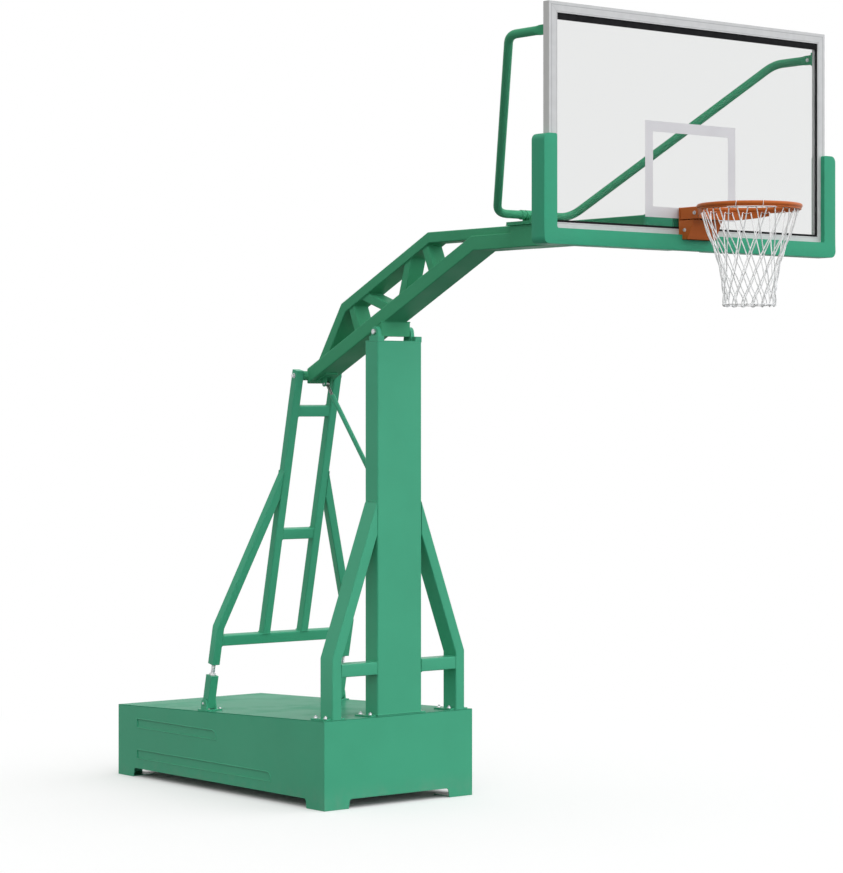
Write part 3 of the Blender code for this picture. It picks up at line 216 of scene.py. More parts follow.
def enamel(name, colour, roughness, dust=0.25, gloss=0.15):
    """Sprayed enamel: a faint cloud in its tone, orange peel, and dust that thins out upwards."""
    coat = Finish(name, colour, roughness, Specular_IOR_Level=gloss)
    cloud = coat.spread(coat.noise(2.2, 4.0, 0.55), 0.3, 0.7)
    tone = coat.blend(cloud, shade(colour, 0.965), shade(colour, 1.03))
    settled = coat.spread(coat.z, 0.16, 0.01) * coat.spread(coat.noise(7.0, 7.0, 0.7), 0.35, 0.8) * dust
    specks = coat.spread(coat.noise(130.0, 2.0), 0.70, 0.76) * 0.10
    coat.set("Base Color", coat.blend(settled | specks, tone, (0.30, 0.33, 0.29)))
    rubbed = coat.spread(coat.noise(5.0, 5.0), 0.3, 0.7, roughness - 0.05, roughness + 0.06)
    coat.set("Roughness", rubbed + settled * 0.3)
    coat.bump(coat.noise(380.0, 2.0), 0.00020, 0.5)
    return coat


def shaded_deck_enamel():
    """The deck's enamel lies on thin sheet that waves a little, and it has been walked on. Its tone is the
    green darkened: painted shade on the deck's top.
    """
    coat = Finish("shaded_deck_enamel", GREEN, 0.45, Specular_IOR_Level=0.01)
    scuffs = coat.spread(coat.noise(16.0, 9.0, 0.75, (1.0, 0.22, 1.0)), 0.56, 0.80)
    dust = coat.spread(coat.noise(3.0, 8.0, 0.65), 0.40, 0.75)
    # The green darkened to 0.78: painted shade on the brightly lit top; the dust tone blended over it is real
    # dust
    tone = coat.blend(dust * 0.20, shade(GREEN, 0.78), (0.085, 0.300, 0.205))
    coat.set("Base Color", coat.blend(scuffs * 0.22, tone, (0.18, 0.37, 0.28)))
    coat.set("Roughness", coat.spread(dust, 0.0, 1.0, 0.30, 0.42) + scuffs * 0.1)
    coat.bump(coat.noise(1.7, 1.0, 0.4) + coat.noise(380.0, 2.0) * 0.012, 0.012, 0.35)
    return coat


def plated_steel(name, dark, light):
    """Plated steel: small blotches of crystal, a little uneven in its gloss."""
    steel = Finish(name, light, 0.32, 1.0)
    steel.set("Base Color", steel.blend(steel.spread(steel.noise(60.0, 4.0, 0.6), 0.35, 0.7), dark, light))
    steel.set("Roughness", steel.spread(steel.noise(300.0, 3.0), 0.3, 0.7, 0.22, 0.42))
    steel.bump(steel.noise(900.0, 2.0), 0.00005, 0.4)
    return steel


def anodised_bar():
    """Satin aluminium extrusion with the grooves of its profile, one 15 mm in and one by the glass; the shade
    in the grooves is painted in as darker lines.
    """
    bar = Finish("satin_aluminium", (0.57, 0.57, 0.575), 0.42, 0.0, Specular_IOR_Level=0.4)
    inward = (BOARD_SIDE - abs(bar.x)) & (bar.z - BOARD_LOW) & (BOARD_TOP - bar.z)
    outer = bar.spread(abs(inward - 0.0150), 0.0024, 0.0012)
    inner = bar.spread(abs(inward - 0.0440), 0.0014, 0.0005)
    groove_and_shade = outer | inner
    grain = bar.noise(36.0, 3.0, 0.5, (0.6, 22.0, 0.6))
    tone = bar.blend(bar.spread(grain, 0.3, 0.7), (0.550, 0.550, 0.556), (0.590, 0.590, 0.595))
    # Darker colour along the grooves: painted shade in them; the bump below sinks the grooves themselves
    bar.set("Base Color", bar.blend(groove_and_shade * 0.75, tone, (0.34, 0.34, 0.35)))
    bar.set("Roughness", bar.spread(bar.noise(90.0, 3.0), 0.3, 0.7, 0.36, 0.50))
    bar.bump(grain * 0.05 - groove_and_shade, 0.0006, 0.6)
    return bar


def pane():
    """The board's clear glass."""
    return Finish("clear_pane", (0.805, 0.812, 0.808), 0.0, Transmission_Weight=1.0, IOR=1.12)


def rubber():
    """Dull black rubber."""
    gum = Finish("black_rubber", (0.008, 0.008, 0.009), 0.62, Specular_IOR_Level=0.08)
    gum.set("Roughness", gum.spread(gum.noise(35.0, 4.0), 0.3, 0.7, 0.55, 0.72))
    gum.bump(gum.noise(700.0, 2.0), 0.0001, 0.5)
    return gum


def cast_concrete():
    """The ballast's rough concrete."""
    block = Finish("cast_concrete", (0.36, 0.355, 0.34), 0.9)
    lumps = block.noise(14.0, 8.0, 0.65)
    tone = block.blend(block.spread(lumps, 0.3, 0.7), (0.29, 0.285, 0.27), (0.42, 0.415, 0.40))
    block.set("Base Color", tone)
    block.set("Roughness", block.spread(lumps, 0.3, 0.7, 0.84, 0.95))
    block.bump(lumps, 0.002, 0.6)
    return block


def moulded_skin():
    """Self-skinned foam: a fine leather grain, a little duller where it is rubbed."""
    skin = Finish("moulded_skin", PAD_GREEN, 0.55, Specular_IOR_Level=0.15)
    grain = skin.node("ShaderNodeTexVoronoi", {"feature": "SMOOTH_F1"}, Vector=skin.place, Scale=380.0,
                      Smoothness=0.4, out="Distance")
    rubbed = skin.spread(skin.noise(6.0, 6.0, 0.6), 0.35, 0.75)
    skin.set("Base Color", skin.blend(rubbed, shade(PAD_GREEN, 0.97), shade(PAD_GREEN, 1.05)))
    skin.set("Roughness", skin.spread(rubbed, 0.0, 1.0, 0.48, 0.62))
    skin.bump(grain + skin.noise(90.0, 3.0) * 0.6, 0.0004, 0.4)
    return skin


def polyester_cord():
    """White braided cord, a little grey in its hollows."""
    cord = Finish("polyester_cord", (0.93, 0.93, 0.94), 0.85, Specular_IOR_Level=0.2)
    worn = cord.spread(cord.noise(30.0, 5.0, 0.6), 0.3, 0.75)
    cord.set("Base Color", cord.blend(worn, (0.95, 0.95, 0.955), (0.88, 0.88, 0.895)))
    cord.bump(cord.noise(900.0, 3.0), 0.0004, 0.6)
    return cord


def printed_line():
    """Pale ceramic ink fired on the glass."""
    ink = Finish("glass_ink", (0.64, 0.63, 0.655), 0.5, Specular_IOR_Level=0.2)
    cloud = ink.spread(ink.noise(5.0, 4.0), 0.3, 0.7)
    ink.set("Base Color", ink.blend(cloud, (0.66, 0.65, 0.675), (0.62, 0.61, 0.635)))
    ink.set("Roughness", ink.spread(ink.noise(60.0, 3.0), 0.3, 0.7, 0.44, 0.56))
    ink.bump(ink.noise(500.0, 2.0), 0.00003, 0.4)
    return ink


finishes = {
    "green_paint": enamel("green_enamel", GREEN, 0.34),
    # The arm's enamel: the green darkened, painted shade
    "shaded_arm_paint": enamel("shaded_arm_enamel", SHADED_ARM_GREEN, 0.45, gloss=0.04),
    "orange_paint": enamel("orange_enamel", ORANGE, 0.36),
    "dark_paint": enamel("dark_primer", (0.10, 0.10, 0.10), 0.6),
    "bright_steel": plated_steel("zinc_plate", (0.50, 0.52, 0.55), (0.72, 0.72, 0.70)),
    "dull_steel": plated_steel("oiled_steel", (0.12, 0.14, 0.12), (0.22, 0.24, 0.22)),
    "frame_aluminium": anodised_bar(),
    "clear_glass": pane(),
    "black_rubber": rubber(),
    "grey_concrete": cast_concrete(),
    "green_padding": moulded_skin(),
    "white_cord": polyester_cord(),
    "deck": shaded_deck_enamel(),
    "ink": printed_line(),
}


# Carried-over nodes

# The arm's nodes take the darker enamel: painted shade, not a paint of their own
ARM_NODES = ("lower_chord", "upper_chord", "arm_head", "pipe_saddle", "pivot_block", "strut_lug_top",
             "web_1", "web_2", "web_3", "web_4")
OWN_FINISH = {"deck_front": "deck", "deck_rear": "deck", "strut_bar": "dull_steel"}
OWN_FINISH.update({node: "shaded_arm_paint" for node in ARM_NODES})


def dress(node, slot):
    """Gives a node its finish and eases its edges, the frame's least, without touching its mesh."""
    piece = nodes[node]
    piece.data.materials.clear()
    piece.data.materials.append(finishes[OWN_FINISH.get(node, slot)].material)
    piece.data.shade_smooth()
    ease = 0.00025 if slot == "frame_aluminium" else 0.0008
    sharp = radians(50)
    steps = (("Weld", "WELD", {"merge_threshold": 0.00002}),
             ("Eased edges", "BEVEL", {"width": ease, "segments": 2, "limit_method": "ANGLE",
                                       "angle_limit": sharp, "miter_outer": "MITER_ARC"}),
             ("Crisp edges", "EDGE_SPLIT", {"split_angle": sharp}),
             ("Even shading", "WEIGHTED_NORMAL", {"weight": 60}))
    for label, kind, settings in steps:
        step = piece.modifiers.new(label, kind)
        for key, value in settings.items():
            setattr(step, key, value)


# Modelling helpers

def only(piece):
    """Selects one piece and nothing else."""
    bpy.ops.object.select_all(action="DESELECT")
    piece.select_set(True)
    bpy.context.view_layer.objects.active = piece
    return piece


@contextmanager
def shaping(piece):
    """The piece in edit mode."""
    only(piece)
    bpy.ops.object.mode_set(mode="EDIT")
    yield piece
    bpy.ops.object.mode_set(mode="OBJECT")


def pick(kind, test):
    """Selects, in edit mode, the edges or the faces that the test accepts."""
    mesh = bpy.context.edit_object.data
    bpy.ops.mesh.select_mode(type={"edges": "EDGE", "faces": "FACE"}[kind])
    bpy.ops.mesh.select_all(action="DESELECT")
    shape = bmesh.from_edit_mesh(mesh)
    for element in getattr(shape, kind):
        element.select_set(bool(test(element)))
    shape.select_flush_mode()
    bmesh.update_edit_mesh(mesh)


def middle(edge):
    """The place halfway along an edge."""
    return (edge.verts[0].co + edge.verts[1].co) / 2


def is_edge(edge):
    """An edge between two faces that meet at more than 50 degrees."""
    return len(edge.link_faces) == 2 and edge.calc_face_angle() > radians(50)


def box(low, high):
    """A block between two corners, its place in its mesh."""
    bpy.ops.object.select_all(action="DESELECT")
    low, high = Vector(low), Vector(high)
    bpy.ops.mesh.primitive_cube_add(size=1, location=(low + high) / 2)
    bpy.context.object.scale = high - low
    bpy.ops.object.transform_apply(location=True, rotation=True, scale=True)
    return bpy.context.object


def drum(radius, depth, place, sides, along=Z):
    """A round or many-sided bar, with its middle at a place."""
    bpy.ops.object.select_all(action="DESELECT")
    bpy.ops.mesh.primitive_cylinder_add(vertices=sides, radius=radius, depth=depth, location=place,
                                        rotation=along.to_track_quat("Z", "Y").to_euler())
    bpy.ops.object.transform_apply(location=True, rotation=True, scale=True)
    return bpy.context.object


def bevel(piece, width, segments=2, test=is_edge):
    """Rounds the edges that the test accepts."""
    with shaping(piece):
        pick("edges", test)
        bpy.ops.mesh.bevel(offset=width, segments=segments, affect="EDGES", clamp_overlap=True)
    return piece


def cut(piece, tool):
    """Takes the tool's shape out of the piece."""
    only(piece)
    step = piece.modifiers.new("Cut", "BOOLEAN")
    step.object = tool
    step.operation = "DIFFERENCE"
    step.solver = "EXACT"
    bpy.ops.object.modifier_apply(modifier=step.name)
    bpy.data.objects.remove(tool, do_unlink=True)
    return piece


def join(*pieces):
    """Several meshes made one."""
    only(pieces[0])
    for piece in pieces:
        piece.select_set(True)
    bpy.ops.object.join()
    return bpy.context.object


def finish(piece, name, body, slot, replaces=(), look=None, angle=35):
    """Puts a piece's place in its mesh, names it and gives it its body and its finish."""
    only(piece)
    bpy.ops.object.transform_apply(location=True, rotation=True, scale=True)
    piece.name = name
    piece.data.name = name
    piece.data.materials.clear()
    piece.data.materials.append(finishes[look or slot].material)
    bpy.ops.object.shade_smooth_by_angle(angle=radians(angle))
    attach(piece, body)
    if replaces:
        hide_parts(*replaces)


def drawn(points, radius, closed=False, resolution=3, profile=None, twist=0.0, swell=None):
    """A wire, pipe or cord along a line of points, made a mesh."""
    curve = bpy.data.curves.new("line", "CURVE")
    curve.dimensions = "3D"
    curve.use_fill_caps = not closed
    if profile:
        curve.bevel_mode = "OBJECT"
        curve.bevel_object = profile
    else:
        curve.bevel_depth = radius
        curve.bevel_resolution = resolution
    spline = curve.splines.new("POLY")
    spline.points.add(len(points) - 1)
    for index, (point, place) in enumerate(zip(spline.points, points)):
        point.co = (*place, 1.0)
        point.tilt = twist * index
        point.radius = swell[index % len(swell)] if swell else 1.0
    spline.use_cyclic_u = closed
    piece = bpy.data.objects.new("line", curve)
    bpy.context.scene.collection.objects.link(piece)
    only(piece)
    bpy.ops.object.convert(target="MESH")
    return bpy.context.object


def bent(corners, bends, steps):
    """A line with its corners eased, each by its own reach."""
    corners = [Vector(corner) for corner in corners]
    line = [corners[0]]
    for before, corner, after, reach in zip(corners, corners[1:], corners[2:], bends):
        first = corner + (before - corner).normalized() * reach
        last = corner + (after - corner).normalized() * reach
        for i in range(steps + 1):
            share = i / steps
            line.append(first.lerp(corner, share).lerp(corner.lerp(last, share), share))
    return line + [corners[-1]]


def fine(points, step, closed=False):
    """The same line with points an even step apart."""
    ends = points[1:] + points[:1] if closed else points[1:]
    line = []
    for a, b in zip(points, ends):
        count = max(1, ceil((b - a).length / step))
        line += [a.lerp(b, i / count) for i in range(count)]
    return line if closed else line + [points[-1]]


def copies(model, places):
    """The model repeated: each place gives where its foot stands and which way it points."""
    made = []
    for place, way in places:
        copy = model.copy()
        copy.data = model.data.copy()
        copy.matrix_world = Matrix.LocRotScale(place, Vector(way).to_track_quat("Z", "Y"), None)
        bpy.context.scene.collection.objects.link(copy)
        made.append(copy)
    bpy.context.view_layer.update()
    return join(*made)


# Fasteners

def bolt_head(size, stem=0.0, washer=True):
    """A hexagon head or nut on its washer, standing on the ground, with the bolt's end through a nut."""
    thick = 0.16 * size if washer else 0.0
    head = drum(size * 0.90, size * 0.64, (0, 0, thick + size * 0.32), sides=6)
    with shaping(head):
        pick("edges", lambda edge: middle(edge).z > thick + size * 0.6)
        bpy.ops.mesh.bevel(offset=size * 0.11, segments=2, affect="EDGES")
        pick("faces", lambda face: face.normal.z > 0.9)
        bpy.ops.mesh.inset(thickness=size * 0.08, depth=-size * 0.03)
    pieces = [head]
    if washer:
        pieces.append(bevel(drum(size * 1.15, thick, (0, 0, thick / 2), sides=28), thick * 0.25, 1))
    if stem:
        tip = thick + size * 0.60
        pieces.append(bevel(drum(size * 0.48, stem, (0, 0, tip + stem / 2), sides=20), size * 0.08, 1))
    return join(*pieces)


def domed_screw(size):
    """A round-headed screw with a hexagon socket."""
    head = drum(size, size * 0.5, (0, 0, size * 0.25), sides=24)
    with shaping(head):
        pick("edges", lambda edge: middle(edge).z > size * 0.4)
        bpy.ops.mesh.bevel(offset=size * 0.35, segments=4, affect="EDGES")
    return cut(head, drum(size * 0.42, size * 0.5, (0, 0, size * 0.52), sides=6))


def fix(model, name, body, places):
    """Fasteners of one kind, made one piece."""
    finish(copies(model, places), name, body, "bright_steel")


def both_ends(reach, place):
    """The ends of a pin or bolt that lies across the object, pointing outwards."""
    return [(at(side * reach, *place), X * side) for side in SIDES]


# The base: the shoulders of its ribs

def make_rib_shoulders():
    """The sheet is rolled over round each rib that is pressed into the side panels."""
    depth, height, rear = 0.4985, 0.051, 4.053
    slight, round_end, roll = 0.004, 0.044, 0.0036
    rolls = []
    for side in SIDES:
        for low, length in ((0.284, 0.800), (0.107, 1.320)):
            front, halfway, high = rear - length, rear - length / 2, low + height
            corners = ((halfway, low), (rear, low), (rear, high), (front, high), (front, low), (halfway, low))
            route = bent([at(side * depth, y, z) for y, z in corners], (slight, slight, round_end, slight), 6)
            rolls.append(drawn(route[:-1], roll, closed=True, resolution=2))
    finish(join(*rolls), "rib_shoulders", "stand", "green_paint", angle=60)


# The board: its padding, the pipes behind it and the printed target

def make_padding():
    """Moulded foam round the lower edge and corners: crowned faces, all its outer edges rolled over."""
    outer, inner, lip, bottom, top = 0.950, 0.872, 2.922, 2.849, 3.349
    front, back = -0.025, 0.0635
    pad = box(at(-outer, front, bottom), at(outer, back, top))
    cut(pad, box(at(-inner, -0.1, lip), at(inner, 0.2, top + 0.1)))

    def upright(edge):
        return abs((edge.verts[0].co - edge.verts[1].co).normalized().y) > 0.9

    bevel(pad, 0.030, 6, lambda edge: upright(edge) and abs(middle(edge).x) > outer - 0.001)
    bevel(pad, 0.010, 5, lambda edge: upright(edge) and abs(abs(middle(edge).x) - inner) < 0.001)

    rims = ((front, True, 0.020, 7), (front, False, 0.006, 3),
            (back, True, 0.010, 4), (back, False, 0.004, 2))
    for depth, outside, width, segments in rims:
        def on_rim(edge):
            flat = all(abs(vert.co.y - FACE - depth) < 0.0002 for vert in edge.verts)
            spot = middle(edge)
            within = abs(spot.x) < inner + 0.004 and spot.z > lip - 0.004
            return flat and is_edge(edge) and within != outside

        bevel(pad, width, segments, on_rim)
    # A grid of cuts, so that the faces can swell.
    across, upwards = 48, 15
    with shaping(pad):
        for index in range(1, across):
            bpy.ops.mesh.select_all(action="SELECT")
            bpy.ops.mesh.bisect(plane_co=at(-outer + index * 2 * outer / across, 0, 0), plane_no=X)
        for index in range(1, upwards):
            bpy.ops.mesh.select_all(action="SELECT")
            bpy.ops.mesh.bisect(plane_co=at(0, 0, bottom + index * (top - bottom) / upwards), plane_no=Z)
    swell = 0.0016
    for vert in pad.data.vertices:
        spot = vert.co
        from_middle = abs(spot.z - (bottom + lip) / 2) / ((lip - bottom) / 2)
        from_side = abs(abs(spot.x) - (outer + inner) / 2) / ((outer - inner) / 2)
        low = 1 - min(1.0, from_middle) ** 2 if spot.z < lip else 0.0
        side = 1 - min(1.0, from_side) ** 2 if abs(spot.x) > inner else 0.0
        if abs(spot.y - FACE - front) < 0.0004:
            wave = 0.35 * sin(31 * spot.x) * sin(23 * spot.z)
            spot.y -= swell * max(low, side) * (1 + wave)
    # Room for the frame, for the ring's housing and for the bracket behind the glass.
    gap = 0.0003
    cut(pad, box(at(-BOARD_SIDE - gap, -gap, BOARD_LOW - gap), at(BOARD_SIDE + gap, 0.040 + gap, 3.9)))
    cut(pad, box(at(-0.0935, -0.2, 2.8985), at(0.0935, 0.012, 3.0)))
    cut(pad, box(at(-0.103, 0.030, 2.8), at(0.103, 0.2, 3.0)))
    with shaping(pad):
        bpy.ops.mesh.select_all(action="SELECT")
        bpy.ops.mesh.remove_doubles(threshold=0.00002)
        bpy.ops.mesh.normals_make_consistent(inside=False)
    finish(pad, "padding", "arm", "green_padding", ["pad"], angle=40)


def make_pipes(screw):
    """Bent pipes from the saddle to the frame's upper corners, each end pressed flat and welded to a foot."""
    low_end, saddle, frame_back, foot_front = 0.0605, (1.153, 3.079), 0.0403, 0.046
    press_start, press_reach, half_thick, half_high = 0.122, 0.026, 0.005, 0.0235
    for side, node in zip(SIDES, ("left", "right")):
        corners = ((low_end, *saddle), (0.242, *saddle), (PIPE_SIDE, 0.318, PIPE_HEIGHT),
                   (PIPE_SIDE, 0.043, PIPE_HEIGHT))
        route = bent([at(side * x, y, z) for x, y, z in corners], (0.068, 0.056), 18)
        pipe = drawn(fine(route, 0.012), 0.021, resolution=8)
        for vert in pipe.data.vertices:
            near = FACE + press_start - vert.co.y
            if near > 0 and abs(vert.co.x) > 0.8:
                press = min(1.0, near / press_reach)
                press = press * press * (3 - 2 * press)
                across = vert.co.x - side * PIPE_SIDE
                up = vert.co.z - PIPE_HEIGHT
                vert.co.x += (max(-half_thick, min(half_thick, across)) - across) * press
                vert.co.z += (max(-half_high, min(half_high, up * 1.2)) - up) * press
        foot = box(at(side * PIPE_SIDE - 0.022, frame_back, PIPE_HEIGHT - 0.032),
                   at(side * PIPE_SIDE + 0.022, foot_front, PIPE_HEIGHT + 0.032))
        bevel(foot, 0.0012, 2)
        collar = drum(0.0245, 0.022, at(side * 0.078, *saddle), 40, X)
        bevel(collar, 0.0015, 2)
        # The pipes take the arm's darker enamel: painted shade
        finish(join(pipe, foot, collar), "pipe_" + node, "arm", "green_paint", ["board_pipe_" + node],
               look="shaded_arm_paint")
    heights = (PIPE_HEIGHT - 0.0265, PIPE_HEIGHT + 0.0265)
    fix(screw, "pipe_foot_screws", "arm",
        [(at(side * PIPE_SIDE, foot_front, height), Y) for side in SIDES for height in heights])


def make_seal():
    """A gasket behind the frame's lip, broad along the top where the lip holds the pane's hanger."""
    seal = box(at(-0.870, 0.0048, 2.930), at(0.870, 0.0135, 3.920))
    cut(seal, box(at(-0.848, 0.0, 2.9605), at(0.848, 0.02, 3.870)))
    bevel(seal, 0.0006, 2)
    finish(seal, "pane_gasket", "arm", "black_rubber", ["glass_seal"])


def make_target():
    """The rectangle printed behind the ring: one frame of ink on the glass."""
    half, low, high, line = 0.295, 3.00, 3.45, 0.050
    target = box(at(-half, 0.0131, low), at(half, 0.0135, high))
    cut(target, box(at(line - half, 0.0, low + line), at(half - line, 0.02, high - line)))
    bevel(target, 0.0003, 1)
    finish(target, "target_print", "arm", "white_cord", look="ink")


# The ring: hooks, net, fasteners and spring

LOOPS = 16
PITCH = 2 * pi / LOOPS                   # from one hook to the next
NET_TURN = radians(-131.9)
HANG = 3.0210                            # height of the hooks
HANG_OUT = 0.2260                        # how far out the cord hangs in them
CORD = 0.0029
HEM = 2.584                              # height of the cord round the mouth
MOUTH = 0.117


def between(table, t):
    """A smooth reading between a table's points."""
    for index in range(len(table) - 1):
        (t0, a), (t1, b) = table[index:index + 2]
        if t <= t1:
            break
    before, after = table[max(0, index - 1)], table[min(len(table) - 1, index + 2)]
    rate0 = (b - before[1]) / (t1 - before[0])
    rate1 = (after[1] - a) / (after[0] - t0)
    s, span = (t - t0) / (t1 - t0), t1 - t0
    return ((1 + 2 * s) * (1 - s) ** 2 * a + s * (1 - s) ** 2 * span * rate0
            + s * s * (3 - 2 * s) * b + s * s * (s - 1) * span * rate1)


def round_ring(turn, radius, height):
    """A place round the ring's middle."""
    return Vector((radius * cos(turn), RING.y + radius * sin(turn), height))


# Down a leg of the net, from its hook at 0 to the hem at 1: how far out it is, how far round it has gone,
# and how far it lies outside or inside the leg that it crosses
WALL = ((0.0, HANG_OUT), (0.2, 0.198), (0.4, 0.163), (0.6, 0.138), (0.8, 0.124), (1.0, MOUTH))
SWEEP = ((0.0, 5.2), (0.225, 11.25), (0.47, 22.5), (0.65, 33.75), (0.805, 45.0), (0.925, 56.25), (1.0, 60.5))
LAY = ((0.0, 0.0), (0.225, 0.0030), (0.47, -0.0030), (0.65, 0.0030), (0.805, -0.0030), (0.925, 0.0030),
       (1.0, 0.0058))
# Round the hem and over the hook: degrees round the ring, how far out, how far up
UNDER_HEM = ((3.4, 0.0046, -0.0030), (1.4, 0.0020, -0.0054),
             (-1.4, -0.0020, -0.0054), (-3.4, -0.0046, -0.0030))
OVER_HOOK = ((-5.1, 0.0015), (-4.2, 0.0048), (-3.0, 0.0030), (0.0, 0.0010), (3.0, 0.0030), (4.2, 0.0048),
             (5.1, 0.0015))


def net_leg(hook, way, steps=44):
    """A leg from its hook down to the hem, led round the ring one way or the other."""
    start = NET_TURN + hook * PITCH
    top = HANG - 0.005
    leg = []
    for i in range(steps + 1):
        share = i / steps
        turn = start + way * radians(between(SWEEP, share))
        out = between(WALL, share) + way * between(LAY, share)
        leg.append(round_ring(turn, out, top - (top - HEM) * i / steps))
    return leg


def make_net():
    """One closed cord: down from a hook, under the hem, up to the hook five further on."""
    line = []
    for loop in range(LOOPS):
        hook, after = loop * 5, loop * 5 + 5
        bottom = NET_TURN + hook * PITCH + radians(56.25)
        top = NET_TURN + after * PITCH
        line += net_leg(hook, 1)
        line += [round_ring(bottom + radians(turn), MOUTH + out, HEM + up) for turn, out, up in UNDER_HEM]
        line += net_leg(after, -1)[::-1]
        line += [round_ring(top + radians(turn), HANG_OUT, HANG + up) for turn, up in OVER_HOOK]
    line = fine(line, 0.0032, closed=True)
    lobes = drawn_lobes()
    twists = round(0.095 * len(line))
    cord = drawn(line, CORD, closed=True, profile=lobes, twist=2 * pi * twists / len(line))
    points = 260
    hem_line = [round_ring(2 * pi * i / points, MOUTH, HEM) for i in range(points)]
    hem = drawn(hem_line, CORD, closed=True, profile=lobes, twist=2 * pi * 25 / points)
    bpy.data.objects.remove(lobes, do_unlink=True)
    finish(join(cord, hem), "net_cord", "ring_body", "white_cord", ["net"], angle=60)


def drawn_lobes():
    """The cord's outline: three strands laid together."""
    curve = bpy.data.curves.new("lobes", "CURVE")
    curve.dimensions = "2D"
    spline = curve.splines.new("POLY")
    spline.points.add(8)
    for index, point in enumerate(spline.points):
        turn = 2 * pi * index / 9
        reach = CORD * (0.76 if index % 3 == 0 else 1.0)
        point.co = (reach * cos(turn), reach * sin(turn), 0.0, 1.0)
    spline.use_cyclic_u = True
    outline = bpy.data.objects.new("lobes", curve)
    bpy.context.scene.collection.objects.link(outline)
    return outline


def make_lashing():
    """The end of the cord, led along the ring's front under the bar and tied round it twice."""
    start, end, steps = radians(-160.0), radians(-105.0), 60
    line = []
    for i in range(steps + 1):
        tucked = 0.004 if i in (0, steps) else 0.0
        line.append(round_ring(start + (end - start) * i / steps, 0.2425, 3.0235 - tucked))
    cords = [drawn(line, 0.0018)]
    for turn in (-149.5, -120.5):
        loop = []
        for i in range(40):
            a = 2 * pi * i / 40
            across, up = 0.0130 * cos(a), 0.0165 * sin(a)
            loop.append(round_ring(radians(turn) + 0.010 * sin(a), RING_RADIUS + across, 3.0350 + up))
        cords.append(drawn(loop, 0.0011, closed=True))
    finish(join(*cords), "net_lashing", "ring_body", "white_cord", angle=60)


def make_hooks():
    """Sixteen wire staples welded to the rod: each loop of the net lies behind a staple's raised bar."""
    half = ((0.0165, 0.0060, 0.0), (0.0165, -0.0015, 0.0), (0.0160, -0.0042, 0.0012),
            (0.0148, -0.0052, 0.0034), (0.0125, -0.0054, 0.0042))
    wire = [(-along, out, up) for along, out, up in half] + [*reversed(half)]
    hooks = []
    for hook in range(LOOPS):
        turn = NET_TURN + hook * PITCH
        line = [round_ring(turn + along / HANG_OUT, HANG_OUT + out, HANG + up) for along, out, up in wire]
        hooks.append(drawn(fine(line, 0.006), 0.0018, resolution=2))
    finish(join(*hooks), "net_hooks", "ring_body", "orange_paint")


def make_spring():
    """The coil round the ring's pin that lifts the ring back."""
    y, z = RING_PIN
    wire, span, coil = 0.0022, 0.042, 0.0085
    turns, steps = 7, 28
    line = []
    for i in range(turns * steps + 1):
        a = 2 * pi * i / steps
        line.append(at(span * (i / (turns * steps) - 0.5), y + coil * cos(a), z + coil * sin(a)))
    finish(drawn(line, wire, resolution=4), "return_spring", "arm", "bright_steel", ["ring_spring"], angle=60)


def make_thread(reach, radius, pitch):
    """A threaded bar standing on the ground."""
    root = radius * 0.90
    core = bevel(drum(root, reach, (0, 0, reach / 2), 28), radius * 0.15, 1)
    steps = 20
    helix = []
    for i in range(int(reach / pitch * steps) - 2 * steps):
        a = 2 * pi * i / steps
        helix.append(Vector((root * cos(a), root * sin(a), pitch + pitch * i / steps)))
    return join(core, drawn(helix, radius * 0.105, resolution=0))


def make_screws(nut):
    """The two threaded bars that set the arm's tilt, with their lock nuts."""
    bar = make_thread(0.299, 0.012, 0.0035)
    for side, node in zip(SIDES, ("left", "right")):
        foot = at(side * LINK_SIDE, *LINK_PIN)
        screw = copies(bar, [(foot + UP_STAY * 0.1453, UP_STAY)])
        lock = copies(nut, [(foot + UP_STAY * 0.1605, UP_STAY)])
        finish(join(screw, lock), "screw_thread_" + node, "adjuster_" + node, "bright_steel",
               ["screw_" + node])
    bpy.data.objects.remove(bar, do_unlink=True)


# Weld beads

CORNERS = ((-1, -1), (1, -1), (1, 1), (-1, 1), (-1, -1))    # once round a tube's end


def weld(name, body, slot, lines, radius=0.0030, look=None):
    """Beads along the lines, each a run of small overlapping scales."""
    scales = (0.86, 1.0, 1.06, 0.98)
    beads = [drawn(fine(line, 0.0017), radius, resolution=2, swell=scales) for line in lines]
    finish(join(*beads), name, body, slot, look=look, angle=50)


def pair(*lines):
    """The lines on the right side and, mirrored, on the left."""
    both = []
    for line in lines:
        both.append([at(x, y, z) for x, y, z in line])
        both.append([at(-x, y, z) for x, y, z in line])
    return both


def seam(half, first, second):
    """Round a joint that lies across the middle, from one place to another."""
    return [at(half * across, *(second if way > 0 else first)) for across, way in CORNERS]


def on_stay(*places):
    """Places in the stay's own plane: across, up along it, and behind it."""
    return [at(0, *STAY_PIN) + X * x + UP_STAY * up + OFF_STAY * behind for x, up, behind in places]


def weld_stand():
    """Round the feet of the post and the braces, and at the ties and the braces' tops."""
    lift = 0.0085
    post_side, brace_in, brace_out = 0.1486, 0.3855, 0.4465
    post = ((0.0, 2.2495), (post_side, 2.2495), (post_side, 2.3625), (0.0, 2.3625))
    brace = ((brace_in, 2.2675), (brace_in, 2.3335), (brace_out, 2.3335), (brace_out, 2.2675),
             (brace_in, 2.2675))
    tie = ((2.2505, 0.693), (2.2505, 0.761), (2.3505, 0.761), (2.3505, 0.693), (2.2505, 0.693))
    top = ((2.2650, 1.437), (2.2650, 1.613), (2.3300, 1.613), (2.3300, 1.437))
    feet = [[(x, y, deck(y) + lift) for x, y in line] for line in (post, brace)]
    joints = [[(x, y, z) for y, z in line] for x, line in ((0.1490, tie), (brace_in, tie), (0.1490, top))]
    weld("stand_welds", "stand", "green_paint", pair(*feet, *joints))


